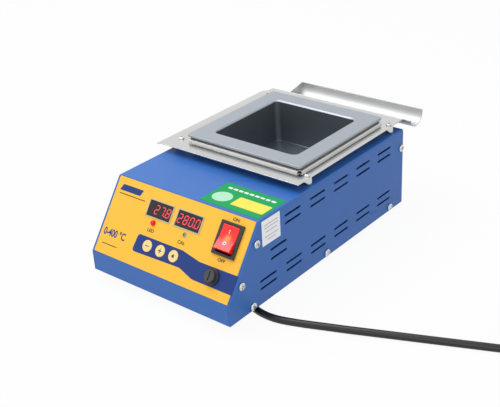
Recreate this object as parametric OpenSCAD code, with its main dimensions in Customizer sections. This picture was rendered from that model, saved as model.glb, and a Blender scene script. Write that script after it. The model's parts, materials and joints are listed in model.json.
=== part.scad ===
// Bench solder pot: a square, coated solder bath hung in a heater box, which
// stands in a sheet-steel case with a sloping control panel. A bright steel
// drip tray with a rolled gutter surrounds the bath.
// Frame: +X right, +Y to the back, +Z up, origin on the bench under the middle.
// Inside the modules y runs from the front of the case and z from its bottom.

/* [Case] */
// Width over the sides of the cover
case_w = 170; // [164:1:186]
// Depth from the lower front to the rear panel
case_d = 279; // [274:1:300]
// Height of the sheet-steel case without its feet
case_h = 82.5; // [80:0.5:95]
// Height of the upright part of the front
front_h = 20.3; // [19:0.1:22]
// How far the slope runs back from the front
slope_run = 46; // [44:0.5:50]
// Thickness of the painted steel sheet
sheet_t = 1.2; // [1:0.1:1.5]
// Outside radius of the cover's two long bends
bend_r = 2; // [1.6:0.1:3]
// Width of the flanges folded in round the chassis
flange_in = 12; // [11.5:0.1:12.5]
// Play between the chassis and the cover that slips over it
cover_play = 0.1; // [0.05:0.05:0.2]

/* [Feet] */
// Height of the rubber feet
foot_h = 9; // [9:0.5:14]
// Diameter of a foot where it meets the case
foot_d = 18; // [16:0.5:20]
// Diameter of a foot where it meets the bench
foot_base_d = 15; // [14:0.5:16]
// Distance of the feet from the edges of the case
foot_inset = 20; // [18:0.5:24]

/* [Vents] */
// Length of one vent slot
vent_len = 23.3; // [18:0.1:28]
// Height of one vent slot
vent_w = 2.1; // [1.6:0.1:3]
// Distance from one pair of slots to the next
vent_pitch = 37.65; // [34:0.05:37.7]
// Distance between the two slots of a pair
vent_gap = 7.7; // [6:0.1:9]
// Distance between the two slots of the lone middle pair
vent_mid_gap = 9.3; // [8:0.1:10]
// Middle of the first pair of the upper row, from the front
vent_top_y = 92.7; // [90:0.1:96]
// Height of the upper row
vent_top_z = 68; // [64:0.5:69]
// Pairs of slots in the upper row
vent_top_count = 5; // [1:1:5]
// Middle of the first pair of the lower row, from the front
vent_low_y = 54.7; // [52:0.1:58]
// Height of the lower row
vent_low_z = 19.4; // [17:0.1:22]
// Pairs of slots in the lower row
vent_low_count = 6; // [1:1:6]
// Middle of the lone pair, from the front
vent_mid_y = 70.8; // [66:0.1:76]
// Height of the lone pair
vent_mid_z = 43.1; // [40:0.1:46]

/* [Case screws] */
// Diameter of the pan heads
screw_head_d = 7.6; // [7:0.1:8]
// Height of the pan heads
screw_head_h = 2.3; // [1.8:0.1:2.8]
// Shank diameter of the case screws
screw_d = 3.9; // [3.5:0.1:4]
// Length of the shank under the head
screw_len = 8; // [6:0.5:10]
// Distance of the lower screws from the bottom edge
screw_low_z = 4.3; // [4.2:0.1:6]
// Distance of the panel screws from the edge of the slope
screw_slope_in = 7.2; // [5:0.1:8]
// Distance of the rear screw from the rear edge
screw_rear_in = 4.3; // [4:0.1:6]
// Height of the rear screw
screw_rear_z = 63.2; // [40:0.1:66]
// First lower screw from the front
screw_low_front = 31.4; // [30:0.1:34]
// Last lower screw from the rear panel
screw_low_back = 24.2; // [22:0.1:28]
// Lower panel screw from the foot of the slope
screw_slope_low = 20.1; // [19:0.1:22]
// Upper panel screw from the top of the slope
screw_slope_high = 19; // [17:0.1:21]

/* [Control panel] */
// Thickness of the overlay on the slope
label_t = 0.3; // [0.2:0.05:0.5]
// Bare metal left round the overlay
label_margin = 1.2; // [0.8:0.1:2]
// Middle of the left display from the left edge
display_left_u = 63; // [62:0.5:64]
// Distance between the middles of the displays
display_pitch = 35.6; // [33:0.1:37]
// Middle of the displays up the slope
display_v = 57; // [56.5:0.5:57.5]
// Width of a display's frame
display_w = 31; // [30:0.1:32]
// Height of a display's frame
display_h = 17.2; // [16:0.1:17.6]
// Width of the frame's border
display_rim = 1.2; // [1:0.1:1.6]
// Middle of the indicator lamp from the left edge
led_u = 60.3; // [58:0.1:62]
// Middle of the indicator lamp up the slope
led_v = 44.5; // [43.5:0.1:45.2]
// Diameter of the indicator lamp
led_d = 5; // [4:0.1:5.2]
// Middle of the calibration screw from the left edge
cal_u = 99.2; // [98:0.1:100]
// Middle of the calibration screw up the slope
cal_v = 44.4; // [43.8:0.1:44.8]
// Diameter of the calibration screw
cal_d = 4; // [3:0.1:4.2]
// Middle of the first button from the left edge
button_u = 62.6; // [61:0.1:64]
// Distance from one button to the next
button_pitch = 16.25; // [15:0.05:17]
// Middle of the buttons up the slope
button_v = 23.1; // [22:0.1:24]
// Diameter of a button
button_d = 11; // [9:0.1:11.2]
// How far a button can be pressed
button_travel = 0.5; // [0.3:0.1:0.6]
// Middle of the mains switch from the right edge
switch_right = 23.6; // [22:0.1:26]
// Middle of the mains switch up the slope
switch_v = 53.7; // [52:0.1:54.5]
// Middle of the fuse holder from the right edge
fuse_right = 27.1; // [24:0.1:29]
// Middle of the fuse holder up the slope
fuse_v = 18.9; // [18.5:0.1:20]

/* [Mains switch] */
// Width of the bezel
bezel_w = 25.5; // [25:0.1:27]
// Height of the bezel
bezel_l = 30.5; // [30:0.1:32]
// Thickness of the bezel
bezel_t = 2; // [1.5:0.1:2.5]
// Depth of the housing behind the panel
switch_depth = 15; // [14.5:0.5:18]
// Width of the rocker
rocker_w = 18; // [17:0.1:18.2]
// Half the length of the rocker
rocker_half = 11.5; // [10.5:0.1:11.6]
// Tilt of the rocker to each side
rocker_tilt = 10; // [8:0.5:11]

/* [Fuse] */
// Diameter of the fuse holder's flange
fuse_flange_d = 15.4; // [15:0.1:17]
// Diameter of the fuse holder's barrel
fuse_barrel_d = 12.4; // [11.5:0.1:12.5]
// Bore of the fuse holder
fuse_bore_d = 8; // [7.8:0.1:8.4]
// Diameter of the cap's head
fuse_cap_d = 11; // [10:0.1:12]
// Length of the glass fuse
fuse_len = 20; // [19:0.5:21]

/* [Solder bath] */
// Inside width and depth of the bath at its mouth
bath_w = 101; // [90:0.5:102]
// How much narrower the bath is at its floor
bath_draft = 3; // [1:0.5:5]
// Depth of the bath
bath_depth = 45; // [38:0.5:46]
// Radius of the bath's upright corners
bath_corner_r = 7; // [4:0.5:10]
// Wall of the bath
bath_wall = 3; // [2.5:0.1:3.2]
// Floor of the bath
bath_floor_t = 4; // [3:0.1:4.5]
// Width of the square rim flange
rim_w = 139; // [138:0.5:142]
// Thickness of the rim flange
rim_t = 2.5; // [2:0.1:3]
// Radius of the rim flange's corners
rim_corner_r = 3; // [2:0.5:6]
// Distance of the middle of the bath from the rear panel
bath_back = 84.6; // [84:0.1:86]

/* [Heater box] */
// Outside width of the stainless heater box
box_w = 130; // [129:0.5:131]
// Wall of the heater box
box_t = 0.8; // [0.6:0.1:1]
// Width of the lip folded out on top of the box
lip_w = 5.3; // [4.5:0.1:5.5]
// Height of the lip's folded edge
lip_h = 2; // [1.8:0.1:3]
// Gap left between the lips at each corner
lip_corner = 3.5; // [2:0.1:4.5]
// Thickness of the gasket under the rim
gasket_t = 2.1; // [1.5:0.1:3]
// Thickness of the side insulation
wool_t = 7.2; // [6:0.1:7.4]
// Clearance under the heater box
box_raise = 20.8; // [18:0.1:22]
// Width of the heater block
block_w = 96; // [90:0.5:98]
// Thickness of the heater block
block_h = 12; // [11.6:0.1:13]
// Diameter of a heating cartridge
rod_d = 10; // [8:0.1:10]
// Length of a heating cartridge
rod_len = 90; // [80:1:90]
// Diameter of the temperature probe
probe_d = 3; // [2:0.1:3.2]

/* [Drip tray] */
// Thickness of the stainless sheet
tray_t = 1; // [0.8:0.1:1.2]
// Gap between the case and the tray
tray_raise = 7.5; // [6:0.1:9]
// Front edge of the tray from the front of the case
tray_front_y = 105.5; // [104:0.5:110]
// Right edge of the tray from the middle
tray_right_x = 81.5; // [81:0.1:83]
// Fold on the left of the tray from the middle
tray_left_x = 86; // [85:0.1:88]
// Width of the lip beyond the left fold
side_lip_w = 7.6; // [5:0.1:10]
// Slope of that lip in degrees
side_lip_angle = 11; // [6:1:20]
// How far the tray reaches behind the case before the gutter
tray_behind = 4; // [3.5:0.1:6]
// Outside radius of the rolled gutter
gutter_r = 12; // [10:0.1:13]
// Left end of the gutter from the middle
gutter_left_x = 62.3; // [50:0.1:75]
// Right end of the gutter from the middle
gutter_right_x = 90.5; // [88:0.5:94]
// Distance between the tray screws across the tray
tray_screw_dx = 155; // [154:0.5:157]
// Distance between the tray screws along the tray
tray_screw_dy = 138; // [137:0.5:140]
// Shank diameter of the tray screws
tray_screw_d = 3; // [2.5:0.1:3]
// Width of the tray's legs where they leave the sheet
leg_w = 12; // [8:0.5:14]

/* [Mains cord] */
// Diameter of the cord
cord_d = 7; // [6.8:0.1:7]
// Height of the strain relief above the case's bottom
gland_z = 26; // [22:0.5:30]
// Length of the strain relief behind the panel
gland_len = 24.5; // [24:0.5:25]
// Length of the plug's moulded body
plug_l = 36; // [32:0.5:42]
// Width of the plug's face
plug_w = 32; // [30:0.5:36]
// Height of the plug's face
plug_h = 25; // [24:0.5:28]

/* [Stickers] */
// Thickness of the stickers
film_t = 0.2; // [0.1:0.05:0.3]
// Left edge of the green sticker from the middle
green_x = 14.5; // [10:0.5:16]
// Front edge of the green sticker
green_y = 48.4; // [48:0.1:52]
// Width of the green sticker
green_w = 67.5; // [60:0.5:68]
// Depth of the green sticker
green_l = 39.4; // [34:0.1:42]
// Front edge of the white sticker
white_y = 48.4; // [46:0.1:52]
// Lower edge of the white sticker
white_z = 56; // [52:0.5:57]
// Length of the white sticker
white_l = 25.3; // [20:0.1:27]
// Height of the white sticker
white_h = 24.5; // [20:0.5:24.5]

/* [Hidden] */

// Finish colours
paint_blue = [0.26, 0.41, 0.72];
label_orange = [0.99, 0.76, 0.27];
button_cream = [0.97, 0.82, 0.45];
steel_bright = [0.86, 0.87, 0.88];
steel_grey = [0.62, 0.63, 0.65];
bath_grey = [0.55, 0.58, 0.62];
plastic_black = [0.08, 0.08, 0.09];
rubber_black = [0.06, 0.06, 0.06];
board_green = [0.10, 0.36, 0.22];
fibre_white = [0.90, 0.88, 0.82];
brass_tone = [0.80, 0.64, 0.30];
lamp_red = [0.85, 0.10, 0.08];

eps = 0.01;   // overlap that joins two shapes of one solid
over = 1;     // how far a cutter runs past what it cuts
slip = 0.05;  // radial play of a pin, screw or shaft in its hole

slope_rise = case_h - front_h;
slope_angle = atan2(slope_rise, slope_run);
slope_len = norm([slope_run, slope_rise]);
slope_top_y = slope_run;
inner_w = case_w - 2 * sheet_t - 2 * cover_play;  // outside width of the chassis
inner_h = case_h - sheet_t - cover_play;          // height of the chassis

tray_top = case_h + tray_raise + tray_t;
lip_top = tray_top + lip_h;
rim_bottom = lip_top + gasket_t;
rim_top = rim_bottom + rim_t;
bath_y = case_d - bath_back;
bath_bottom = rim_top - bath_depth - bath_floor_t;
box_bottom = sheet_t + box_raise;
block_bottom = bath_bottom - block_h;
case_hole_w = box_w + 4;                          // opening in the top of the case
tray_hole_w = box_w + 2;                          // opening in the tray
probe_z = block_bottom + block_h / 2;

gutter_y = case_d + tray_behind + gutter_r;
gutter_z = case_h + tray_raise + tray_t / 2 + 3;
tray_back_y = case_d + tray_behind + tray_t;

// The frame's origin lies under the middle of the case, tray and gutter
span_left = tray_left_x + side_lip_w * cos(side_lip_angle);
origin_x = (span_left - gutter_right_x) / 2;
origin_y = (gutter_y + gutter_r) / 2;

panel_mid = case_w / 2;
switch_u = case_w - switch_right;
fuse_u = case_w - fuse_right;
display_right_u = display_left_u + display_pitch;
board_depth = 12;      // face of the control board behind the panel
board_t = 1.6;
board_left_u = display_left_u - 22.5;
board_right_u = display_right_u + 22.5;
board_low_v = button_v - 13.5;
board_high_v = display_v + 11;
pillar_inset = 3.5;
pillar_d = 5;
pillar_screw_d = 3;

power_w = 110;         // power board: width, depth, place and height
power_d = 58;
power_y = 57;
power_raise = 6;
power_top = sheet_t + power_raise + board_t;
post_d = 6;
transformer_x = -30;   // laminated core and its bobbin
core_w = 35;
core_d = 14;
core_h = 29;
bobbin_w = 22;
bobbin_d = 26;
bobbin_h = 19;
sink_x = 34;           // heat sink with seven fins
sink_y = power_y + 34;
sink_w = 31;
sink_t = 4;
sink_h = 25;
fin_t = 1.6;
fin_l = 12;
triac_t = 4.5;
terminal_pitch = 10;
terminal_w = 10;
terminal_well_d = 5;
heater_terminal_x = 32;
heater_terminal_d = 12;
earth_x = 35;

// Mains switch behind its bezel, and the rocker's pivot
housing_w = bezel_w - 3.9;
housing_l = bezel_l - 2.9;
cavity_w = rocker_w + 0.6;
cavity_l = 2 * rocker_half + 2.6;
rocker_pivot_n = -2;
rocker_pin_d = 2.9;

button_foot_n = -board_depth + 2.7;  // foot of a button's stem
fuse_d = 5.2;
fuse_top = 6;                        // top of the fuse behind the panel
fuse_depth = fuse_top + fuse_len + 0.1;
cap_n = label_t + 2.25;              // underside of the fuse cap's head
rod_spacing = 32;
probe_depth = 9;       // of the probe in the heater block
foot_recess = 4.5;
lip_cut = 20;                        // cutter that opens the lip's corners
lip_notch = box_w / 2 + lip_w - lip_corner + lip_cut / 2;
lip_end_y = bath_y + 80;             // back end of the tray's side lip
gutter_rise = 12;                    // tilt of the gutter's mouth
gland_x = -origin_x;         // the strain relief sits over the frame's Y axis
gland_body_d = 12;
gland_head_d = 17;

m4_nut_w = 7;          // across flats
m4_nut_h = 3.2;
m3_nut_w = 5.5;
m3_nut_h = 2.4;

// Route of the free cord along the bench, its centre line, millimetres
cord_route = [[0, 150, 35], [0, 164, 35], [-2, 180, 29], [-6, 194, 19],
    [-13, 206, 10], [-24, 215, 4.5], [-38, 217, 3.5], [-51, 211, 3.5],
    [-60, 199, 3.5], [-63, 184, 3.5], [-62, 167, 3.5], [-57, 147, 3.5],
    [-49, 125, 3.5], [-39, 102, 3.5], [-29, 79, 3.5], [-19, 54, 3.5],
    [-8, 27, 3.5], [3, 0, 3.5], [14, -26, 3.5], [26, -51, 3.5],
    [39, -74, 3.5], [53, -93, 3.5], [66, -105, 3.5], [79, -112, 3.5],
    [93, -115, 3.5], [108, -114, 3.5], [127, -108, 3.5], [147, -100, 3.5],
    [167, -92, 3.5], [187, -83.5, 3.5], [207, -75, 3.5], [227, -66.5, 3.5],
    [247, -58, 3.5], [267, -49.5, 3.5], [287, -41, 3.5]];
// Spare cord, wound up where the route ends, and the lead from it to the plug
coil_r = 36;                // radius of a turn's centre line
coil_pitch = 7.4;           // rise of one turn
coil_turns = 3.25;
coil_tail = 45;             // straight cord before the coil touches its circle
lead_tail = 24;             // straight cord after it leaves the circle
cord_end = cord_route[len(cord_route) - 1];
cord_way = (cord_end - cord_route[len(cord_route) - 2])
    / norm(cord_end - cord_route[len(cord_route) - 2]);
coil_center = cord_end + coil_tail * cord_way + coil_r * [-cord_way[1], cord_way[0], 0];
coil_exit_angle = atan2(-cord_way[0], cord_way[1]) + 360 * coil_turns;
coil_exit_z = cord_d / 2 + coil_turns * coil_pitch;
coil_h = coil_exit_z + cord_d / 2;
lead_way = [-sin(coil_exit_angle), cos(coil_exit_angle), 0];
lead_start = [coil_center[0], coil_center[1], coil_exit_z]
    + coil_r * [cos(coil_exit_angle), sin(coil_exit_angle), 0] + lead_tail * lead_way;
// [run, share of the drop to the bench] along the lead
lead_profile = [[0, 0], [14, 0], [28, 0.25], [42, 0.65], [56, 0.92], [70, 1], [84, 1]];
lead_route = [for (p = lead_profile)
    lead_start + p[0] * lead_way + [0, 0, p[1] * (plug_h / 2 - coil_exit_z)]];
plug_boot = 22;

module placed() translate([origin_x, -origin_y, foot_h]) children();

// Puts x, y, z of the children to across, up and out of the sloping panel
module on_panel(u = 0, v = 0)
    translate([u - panel_mid, 0, front_h])
        rotate([slope_angle, 0, 0])
            translate([0, v, 0]) children();

module centred_block(w, d, h, z = 0)
    translate([-w / 2, -d / 2, z]) cube([w, d, h]);

module rod_x(d, len) rotate([0, 90, 0]) cylinder(d = d, h = len, $fn = 32);

module rod_y(d, len) rotate([-90, 0, 0]) cylinder(d = d, h = len, $fn = 32);

module hex_nut(across, h, hole)
    difference() {
        cylinder(d = across / cos(30), h = h, $fn = 6);
        translate([0, 0, -over]) cylinder(d = hole, h = h + 2 * over, $fn = 32);
    }

// Pan-head screw with a cross recess: head above z = 0, shank below
module pan_screw(head_d, head_h, d, len) {
    recess = head_d * 0.5;
    difference() {
        union() {
            cylinder(d = head_d, h = head_h * 0.45, $fn = 32);
            translate([0, 0, head_h * 0.45])
                cylinder(d1 = head_d, d2 = head_d * 0.62, h = head_h * 0.55, $fn = 32);
            translate([0, 0, -len]) cylinder(d = d, h = len + eps, $fn = 24);
        }
        for (turn = [0, 90])
            rotate([0, 0, turn])
                centred_block(recess, head_d * 0.14, head_h, head_h * 0.4);
    }
}

// Outline of the case from the side, [y, z], drawn in by a margin
function case_profile(inset, top) =
    let (a = slope_angle,
         run = inset * (1 - sin(a)) / cos(a),
         fold_z = front_h - inset * cos(a) + run * sin(a),
         climb = (top - front_h + inset * cos(a)) / sin(a),
         top_y = inset * sin(a) + climb * cos(a))
    [[inset, inset], [case_d - inset, inset], [case_d - inset, top],
     [top_y, top], [inset, fold_z]];

module case_prism(w, inset, top)
    translate([-w / 2, 0, 0])
        rotate([90, 0, 90])
            linear_extrude(w) polygon(case_profile(inset, top));

// ---- Sheet-metal case -------------------------------------------------

function panel_screw_v() = [screw_slope_low, slope_len - screw_slope_high];

// [y, z] of every case screw on one side
function side_screws() = concat(
    [for (v = panel_screw_v())
        [v * cos(slope_angle) + screw_slope_in * sin(slope_angle),
         front_h + v * sin(slope_angle) - screw_slope_in * cos(slope_angle)]],
    [for (share = [0, 0.5, 1])
        [screw_low_front + share * (case_d - screw_low_front - screw_low_back), screw_low_z]],
    [[case_d - screw_rear_in, screw_rear_z]]);

module bent_bar(w, h, r)
    union() {
        translate([-w / 2, 0, 0]) cube([w, case_d, h - r]);
        translate([-w / 2 + r, 0, 0]) cube([w - 2 * r, case_d, h]);
        for (side = [-1, 1])
            translate([side * (w / 2 - r), 0, h - r]) rod_y(2 * r, case_d);
    }

module vent_slot(y, z)
    translate([-case_w / 2 - over, y, z]) {
        for (end = [-1, 1])
            translate([0, end * (vent_len - vent_w) / 2, 0]) rod_x(vent_w, case_w + 2 * over);
        translate([0, -(vent_len - vent_w) / 2, -vent_w / 2])
            cube([case_w + 2 * over, vent_len - vent_w, vent_w]);
    }

module vent_pair(y, z, gap)
    for (row = [-1, 1]) vent_slot(y, z + row * gap / 2);

module vents() {
    for (i = [0:vent_top_count - 1])
        vent_pair(vent_top_y + i * vent_pitch, vent_top_z, vent_gap);
    for (i = [0:vent_low_count - 1])
        vent_pair(vent_low_y + i * vent_pitch, vent_low_z, vent_gap);
    vent_pair(vent_mid_y, vent_mid_z, vent_mid_gap);
}

module at_tray_screws()
    for (x = [-1, 1], y = [-1, 1])
        translate([x * tray_screw_dx / 2, bath_y + y * tray_screw_dy / 2, 0]) children();

module at_feet()
    for (x = [-1, 1], y = [foot_inset, case_d - foot_inset])
        translate([x * (case_w / 2 - foot_inset), y, 0]) children();

module cover()
    color(paint_blue) placed()
        difference() {
            intersection() {
                difference() {
                    bent_bar(case_w, case_h, bend_r);
                    translate([0, 0, -over])
                        bent_bar(case_w - 2 * sheet_t, case_h - sheet_t + over, bend_r - sheet_t);
                }
                case_prism(case_w + 2 * over, 0, case_h);
            }
            vents();
            translate([0, bath_y, 0])
                centred_block(case_hole_w, case_hole_w, case_h + over, 0);
            at_tray_screws() cylinder(d = tray_screw_d + 2 * slip, h = case_h + over, $fn = 24);
            for (p = side_screws())
                translate([-case_w / 2 - over, p[0], p[1]])
                    rod_x(screw_d + 0.4, case_w + 2 * over);
        }

// Openings for everything that stands in the sloping panel
module panel_openings(depth, top) {
    for (u = [display_left_u, display_right_u])
        on_panel(u, display_v)
            centred_block(display_w - display_rim, display_h - display_rim, depth + top, -depth);
    on_panel(led_u, led_v) hole(led_d + 0.2, depth, top);
    on_panel(cal_u, cal_v) hole(cal_d + 0.6, depth, top);
    for (i = [0:2])
        on_panel(button_u + i * button_pitch, button_v) hole(button_d + 0.4, depth, top);
    on_panel(switch_u, switch_v)
        centred_block(housing_w + 0.4, housing_l + 0.4, depth + top, -depth);
    on_panel(fuse_u, fuse_v) hole(fuse_barrel_d + 0.3, depth, top);
}

module hole(d, depth, top)
    translate([0, 0, -depth]) cylinder(d = d, h = depth + top, $fn = 40);

module chassis()
    color(paint_blue) placed()
        difference() {
            case_prism(inner_w, 0, inner_h);
            case_prism(inner_w - 2 * sheet_t, sheet_t, inner_h - sheet_t);
            case_prism(inner_w + 2 * over, flange_in, case_h + 10);
            panel_openings(3, over);
            for (p = side_screws())
                translate([-case_w / 2, p[0], p[1]]) rod_x(screw_d + 2 * slip, case_w);
            at_feet() translate([0, 0, -over])
                cylinder(d = screw_d + 2 * slip, h = 3 * over, $fn = 24);
            translate([gland_x, case_d - 2 * over, gland_z]) rod_y(gland_body_d + 0.2, 3 * over);
        }

module cover_screws()
    color(steel_bright) placed()
        for (p = side_screws(), side = [-1, 1])
            translate([side * case_w / 2, p[0], p[1]])
                rotate([0, side * 90, 0])
                    pan_screw(screw_head_d, screw_head_h, screw_d, screw_len);

module front_label()
    color(label_orange) placed()
        difference() {
            on_panel(panel_mid, slope_len / 2)
                centred_block(inner_w - 2 * label_margin, slope_len - 2 * label_margin, label_t);
            panel_openings(over, over);
        }

// ---- Control panel ----------------------------------------------------

// Display: block behind the panel with a thin frame over its cut-out
module display(u)
    on_panel(u, display_v)
        difference() {
            union() {
                centred_block(display_w - display_rim - 0.2, display_h - display_rim - 0.2,
                    board_depth + label_t + eps, -board_depth);
                centred_block(display_w, display_h, 0.6, label_t);
            }
            centred_block(display_w - 2 * display_rim, display_h - 2 * display_rim, over + 1,
                label_t - 0.2);
        }

module left_display()
    color(plastic_black) placed() display(display_left_u);

module right_display()
    color(plastic_black) placed() display(display_right_u);

module display_windows()
    color([0.25, 0.03, 0.04]) placed()
        for (u = [display_left_u, display_right_u])
            on_panel(u, display_v)
                centred_block(display_w - 2 * display_rim - 2 * slip,
                    display_h - 2 * display_rim - 2 * slip, 0.6, label_t - 0.2);

module status_led()
    color(lamp_red) placed() on_panel(led_u, led_v) {
        rotate_extrude($fn = 40)
            intersection() {
                union() {
                    translate([0, -sheet_t - 1.2]) square([led_d / 2 + 0.4, 1.15]);
                    translate([0, -sheet_t - 1.2]) square([led_d / 2, sheet_t + 2.2]);
                    translate([0, 1]) circle(r = led_d / 2, $fn = 40);
                }
                translate([0, -sheet_t - 1.2]) square([led_d, 10]);
            }
        for (side = [-1, 1])
            translate([side * 1.27, 0, -board_depth])
                cylinder(d = 0.6, h = board_depth - sheet_t - 1.2 + eps, $fn = 16);
    }

module cal_trimmer()
    color(board_green) placed() on_panel(cal_u, cal_v)
        difference() {
            centred_block(7, 7, 5, -board_depth);
            translate([0, 0, 3.4 - board_depth])
                cylinder(d = cal_d + 2 * slip, h = 3, $fn = 32);
        }

module cal_screw()
    color(steel_grey) placed() on_panel(cal_u, cal_v)
        difference() {
            translate([0, 0, 3.5 - board_depth])
                cylinder(d = cal_d, h = board_depth - 3.7, $fn = 32);
            centred_block(cal_d + 1, 0.8, 2, -1.2);
        }

// Button: cap through the panel, flange behind it, stem into its switch
module push_button(place)
    on_panel(button_u + place * button_pitch, button_v)
        rotate_extrude($fn = 48)
            polygon([[0, button_foot_n], [1.7, button_foot_n], [1.7, -2.8],
                [button_d / 2 + 1, -2.8], [button_d / 2 + 1, -sheet_t - 0.1],
                [button_d / 2, -sheet_t - 0.1], [button_d / 2, label_t + 0.3],
                [button_d / 2 - 0.4, label_t + 0.7], [0, label_t + 0.7]]);

module minus_button() color(button_cream) placed() push_button(0);

module plus_button() color(button_cream) placed() push_button(1);

module set_button() color(button_cream) placed() push_button(2);

module button_switches()
    color(plastic_black) placed()
        for (i = [0:2])
            on_panel(button_u + i * button_pitch, button_v)
                difference() {
                    centred_block(6.2, 6.2, 4, -board_depth);
                    translate([0, 0, button_foot_n - button_travel - 0.3])
                        cylinder(d = 3.6, h = 4, $fn = 32);
                }

module control_board()
    color(board_green) placed()
        difference() {
            on_panel(board_left_u, board_low_v)
                translate([0, 0, -board_depth - board_t])
                    cube([board_right_u - board_left_u, board_high_v - board_low_v, board_t]);
            at_pillars() hole(pillar_screw_d + 2 * slip, board_depth + board_t + over, 0);
        }

module at_pillars()
    for (u = [board_left_u + pillar_inset, board_right_u - pillar_inset],
         v = [board_low_v + pillar_inset, board_high_v - pillar_inset])
        on_panel(u, v) children();

// Threaded pillars welded behind the panel, each with a screw through the board
module board_pillars()
    color(steel_grey) placed()
        at_pillars() {
            translate([0, 0, -board_depth])
                cylinder(d = pillar_d, h = board_depth - sheet_t, $fn = 32);
            translate([0, 0, -board_depth - board_t - eps])
                cylinder(d = pillar_screw_d, h = board_t + 2 * eps, $fn = 24);
            translate([0, 0, -board_depth - board_t - 2]) cylinder(d = 5.4, h = 2, $fn = 32);
        }

// ---- Mains switch and fuse --------------------------------------------

module switch_housing()
    color(plastic_black) placed() on_panel(switch_u, switch_v)
        difference() {
            union() {
                centred_block(bezel_w, bezel_l, bezel_t, label_t);
                centred_block(housing_w, housing_l, switch_depth + label_t + eps, -switch_depth);
            }
            centred_block(cavity_w, cavity_l, 20, 2.5 - switch_depth);
            translate([-cavity_w / 2 - 1.4, 0, rocker_pivot_n])
                rod_x(rocker_pin_d + 2 * slip, cavity_w + 2.8);
        }

// Outline of the rocker across its pivot, [v, n] from the pivot
function rocker_outline() =
    let (half = rocker_half)
    [[-half, 6.8], [0, 5], [half, 6.8], [half + 0.3, 3], [half - 2.5, -2.5],
     [3, -6], [-3, -6], [2.5 - half, -2.5], [-half - 0.3, 3]];

module mains_rocker()
    color(lamp_red) placed() on_panel(switch_u, switch_v)
        translate([0, 0, rocker_pivot_n])
            rotate([-rocker_tilt, 0, 0]) {
                translate([-rocker_w / 2, 0, 0])
                    rotate([90, 0, 90]) linear_extrude(rocker_w) polygon(rocker_outline());
                translate([-rocker_w / 2 - 1.2, 0, 0]) rod_x(rocker_pin_d, rocker_w + 2.4);
            }

module switch_terminals()
    color(brass_tone) placed() on_panel(switch_u, switch_v)
        for (x = [-1, 1], y = [-1, 1])
            translate([x * 6, y * 8, -switch_depth - 9])
                centred_block(4.8, 0.8, 9);

module fuse_holder()
    color(plastic_black) placed() on_panel(fuse_u, fuse_v)
        difference() {
            union() {
                translate([0, 0, label_t]) cylinder(d = fuse_flange_d, h = 2.2, $fn = 48);
                translate([0, 0, -fuse_depth - 4])
                    cylinder(d = fuse_barrel_d, h = fuse_depth + 4 + label_t + eps, $fn = 48);
            }
            translate([0, 0, -fuse_depth])
                cylinder(d = fuse_bore_d, h = fuse_depth + 10, $fn = 40);
        }

module fuse_nut()
    color(plastic_black) placed() on_panel(fuse_u, fuse_v)
        translate([0, 0, -sheet_t - 3]) hex_nut(17, 3, fuse_barrel_d + 2 * slip);

module fuse_cap()
    color(plastic_black) placed() on_panel(fuse_u, fuse_v)
        difference() {
            union() {
                translate([0, 0, cap_n]) cylinder(d = fuse_cap_d, h = 2.8, $fn = 40);
                translate([0, 0, -4])
                    cylinder(d = fuse_bore_d - 4 * slip, h = cap_n + 4 + eps, $fn = 40);
            }
            centred_block(1.3, fuse_cap_d - 2.4, 3, cap_n + 1.4);
        }

// Clip that draws the fuse out of the holder
module fuse_carrier()
    color(brass_tone) placed() on_panel(fuse_u, fuse_v)
        difference() {
            translate([0, 0, -14]) cylinder(d = fuse_bore_d - 0.4, h = 14 - 4.1, $fn = 40);
            translate([0, 0, -15]) cylinder(d = fuse_d + 2 * slip, h = 15 - fuse_top, $fn = 32);
        }

module fuse_link()
    color(steel_bright) placed() on_panel(fuse_u, fuse_v) {
        translate([0, 0, -fuse_top - fuse_len]) cylinder(d = fuse_d - 0.3, h = fuse_len, $fn = 32);
        for (end = [0, 1])
            translate([0, 0, -fuse_top - fuse_len + end * (fuse_len - 5.5)])
                cylinder(d = fuse_d, h = 5.5, $fn = 32);
    }

// ---- Bath and heater --------------------------------------------------

// Block with rounded upright corners, narrower at its foot
module drafted_block(top_w, foot_w, corner_r, low, high)
    hull()
        for (x = [-1, 1], y = [-1, 1], level = [[low, foot_w], [high, top_w]])
            translate([x * (level[1] / 2 - corner_r), y * (level[1] / 2 - corner_r), level[0]])
                cylinder(r = corner_r, h = eps, $fn = 32);

module solder_bath()
    color(bath_grey) placed() translate([0, bath_y, 0])
        difference() {
            union() {
                drafted_block(rim_w, rim_w, rim_corner_r, rim_bottom, rim_top - eps);
                drafted_block(bath_w + 2 * bath_wall, bath_w - bath_draft + 2 * bath_wall,
                    bath_corner_r, bath_bottom, rim_top - over);
            }
            drafted_block(bath_w, bath_w - bath_draft, bath_corner_r - 1,
                rim_top - bath_depth, rim_top + eps);
            drafted_block(bath_w + 2.4, bath_w, bath_corner_r, rim_top - 1.2, rim_top + eps);
        }

module square_frame(outer, inner, h, z)
    difference() {
        centred_block(outer, outer, h, z);
        centred_block(inner, inner, h + 2 * over, z - over);
    }

module rim_gasket()
    color(fibre_white) placed() translate([0, bath_y, 0])
        square_frame(box_w + 4, box_w - 2 * box_t - 2 * wool_t, gasket_t, lip_top);

module heater_block()
    color(steel_grey) placed() translate([0, bath_y, 0])
        difference() {
            centred_block(block_w, block_w, block_h, block_bottom);
            for (row = [-1:1])
                translate([-block_w / 2 - over, row * rod_spacing, probe_z])
                    rod_x(rod_d + 2 * slip, block_w + 2 * over);
            translate([0, -block_w / 2 - over, probe_z])
                rod_y(probe_d + 2 * slip, over + probe_depth + 0.3);
        }

module heating_rods()
    color(steel_bright) placed() translate([0, bath_y, 0])
        for (row = [-1:1])
            translate([-rod_len / 2, row * rod_spacing, probe_z]) rod_x(rod_d, rod_len);

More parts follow.
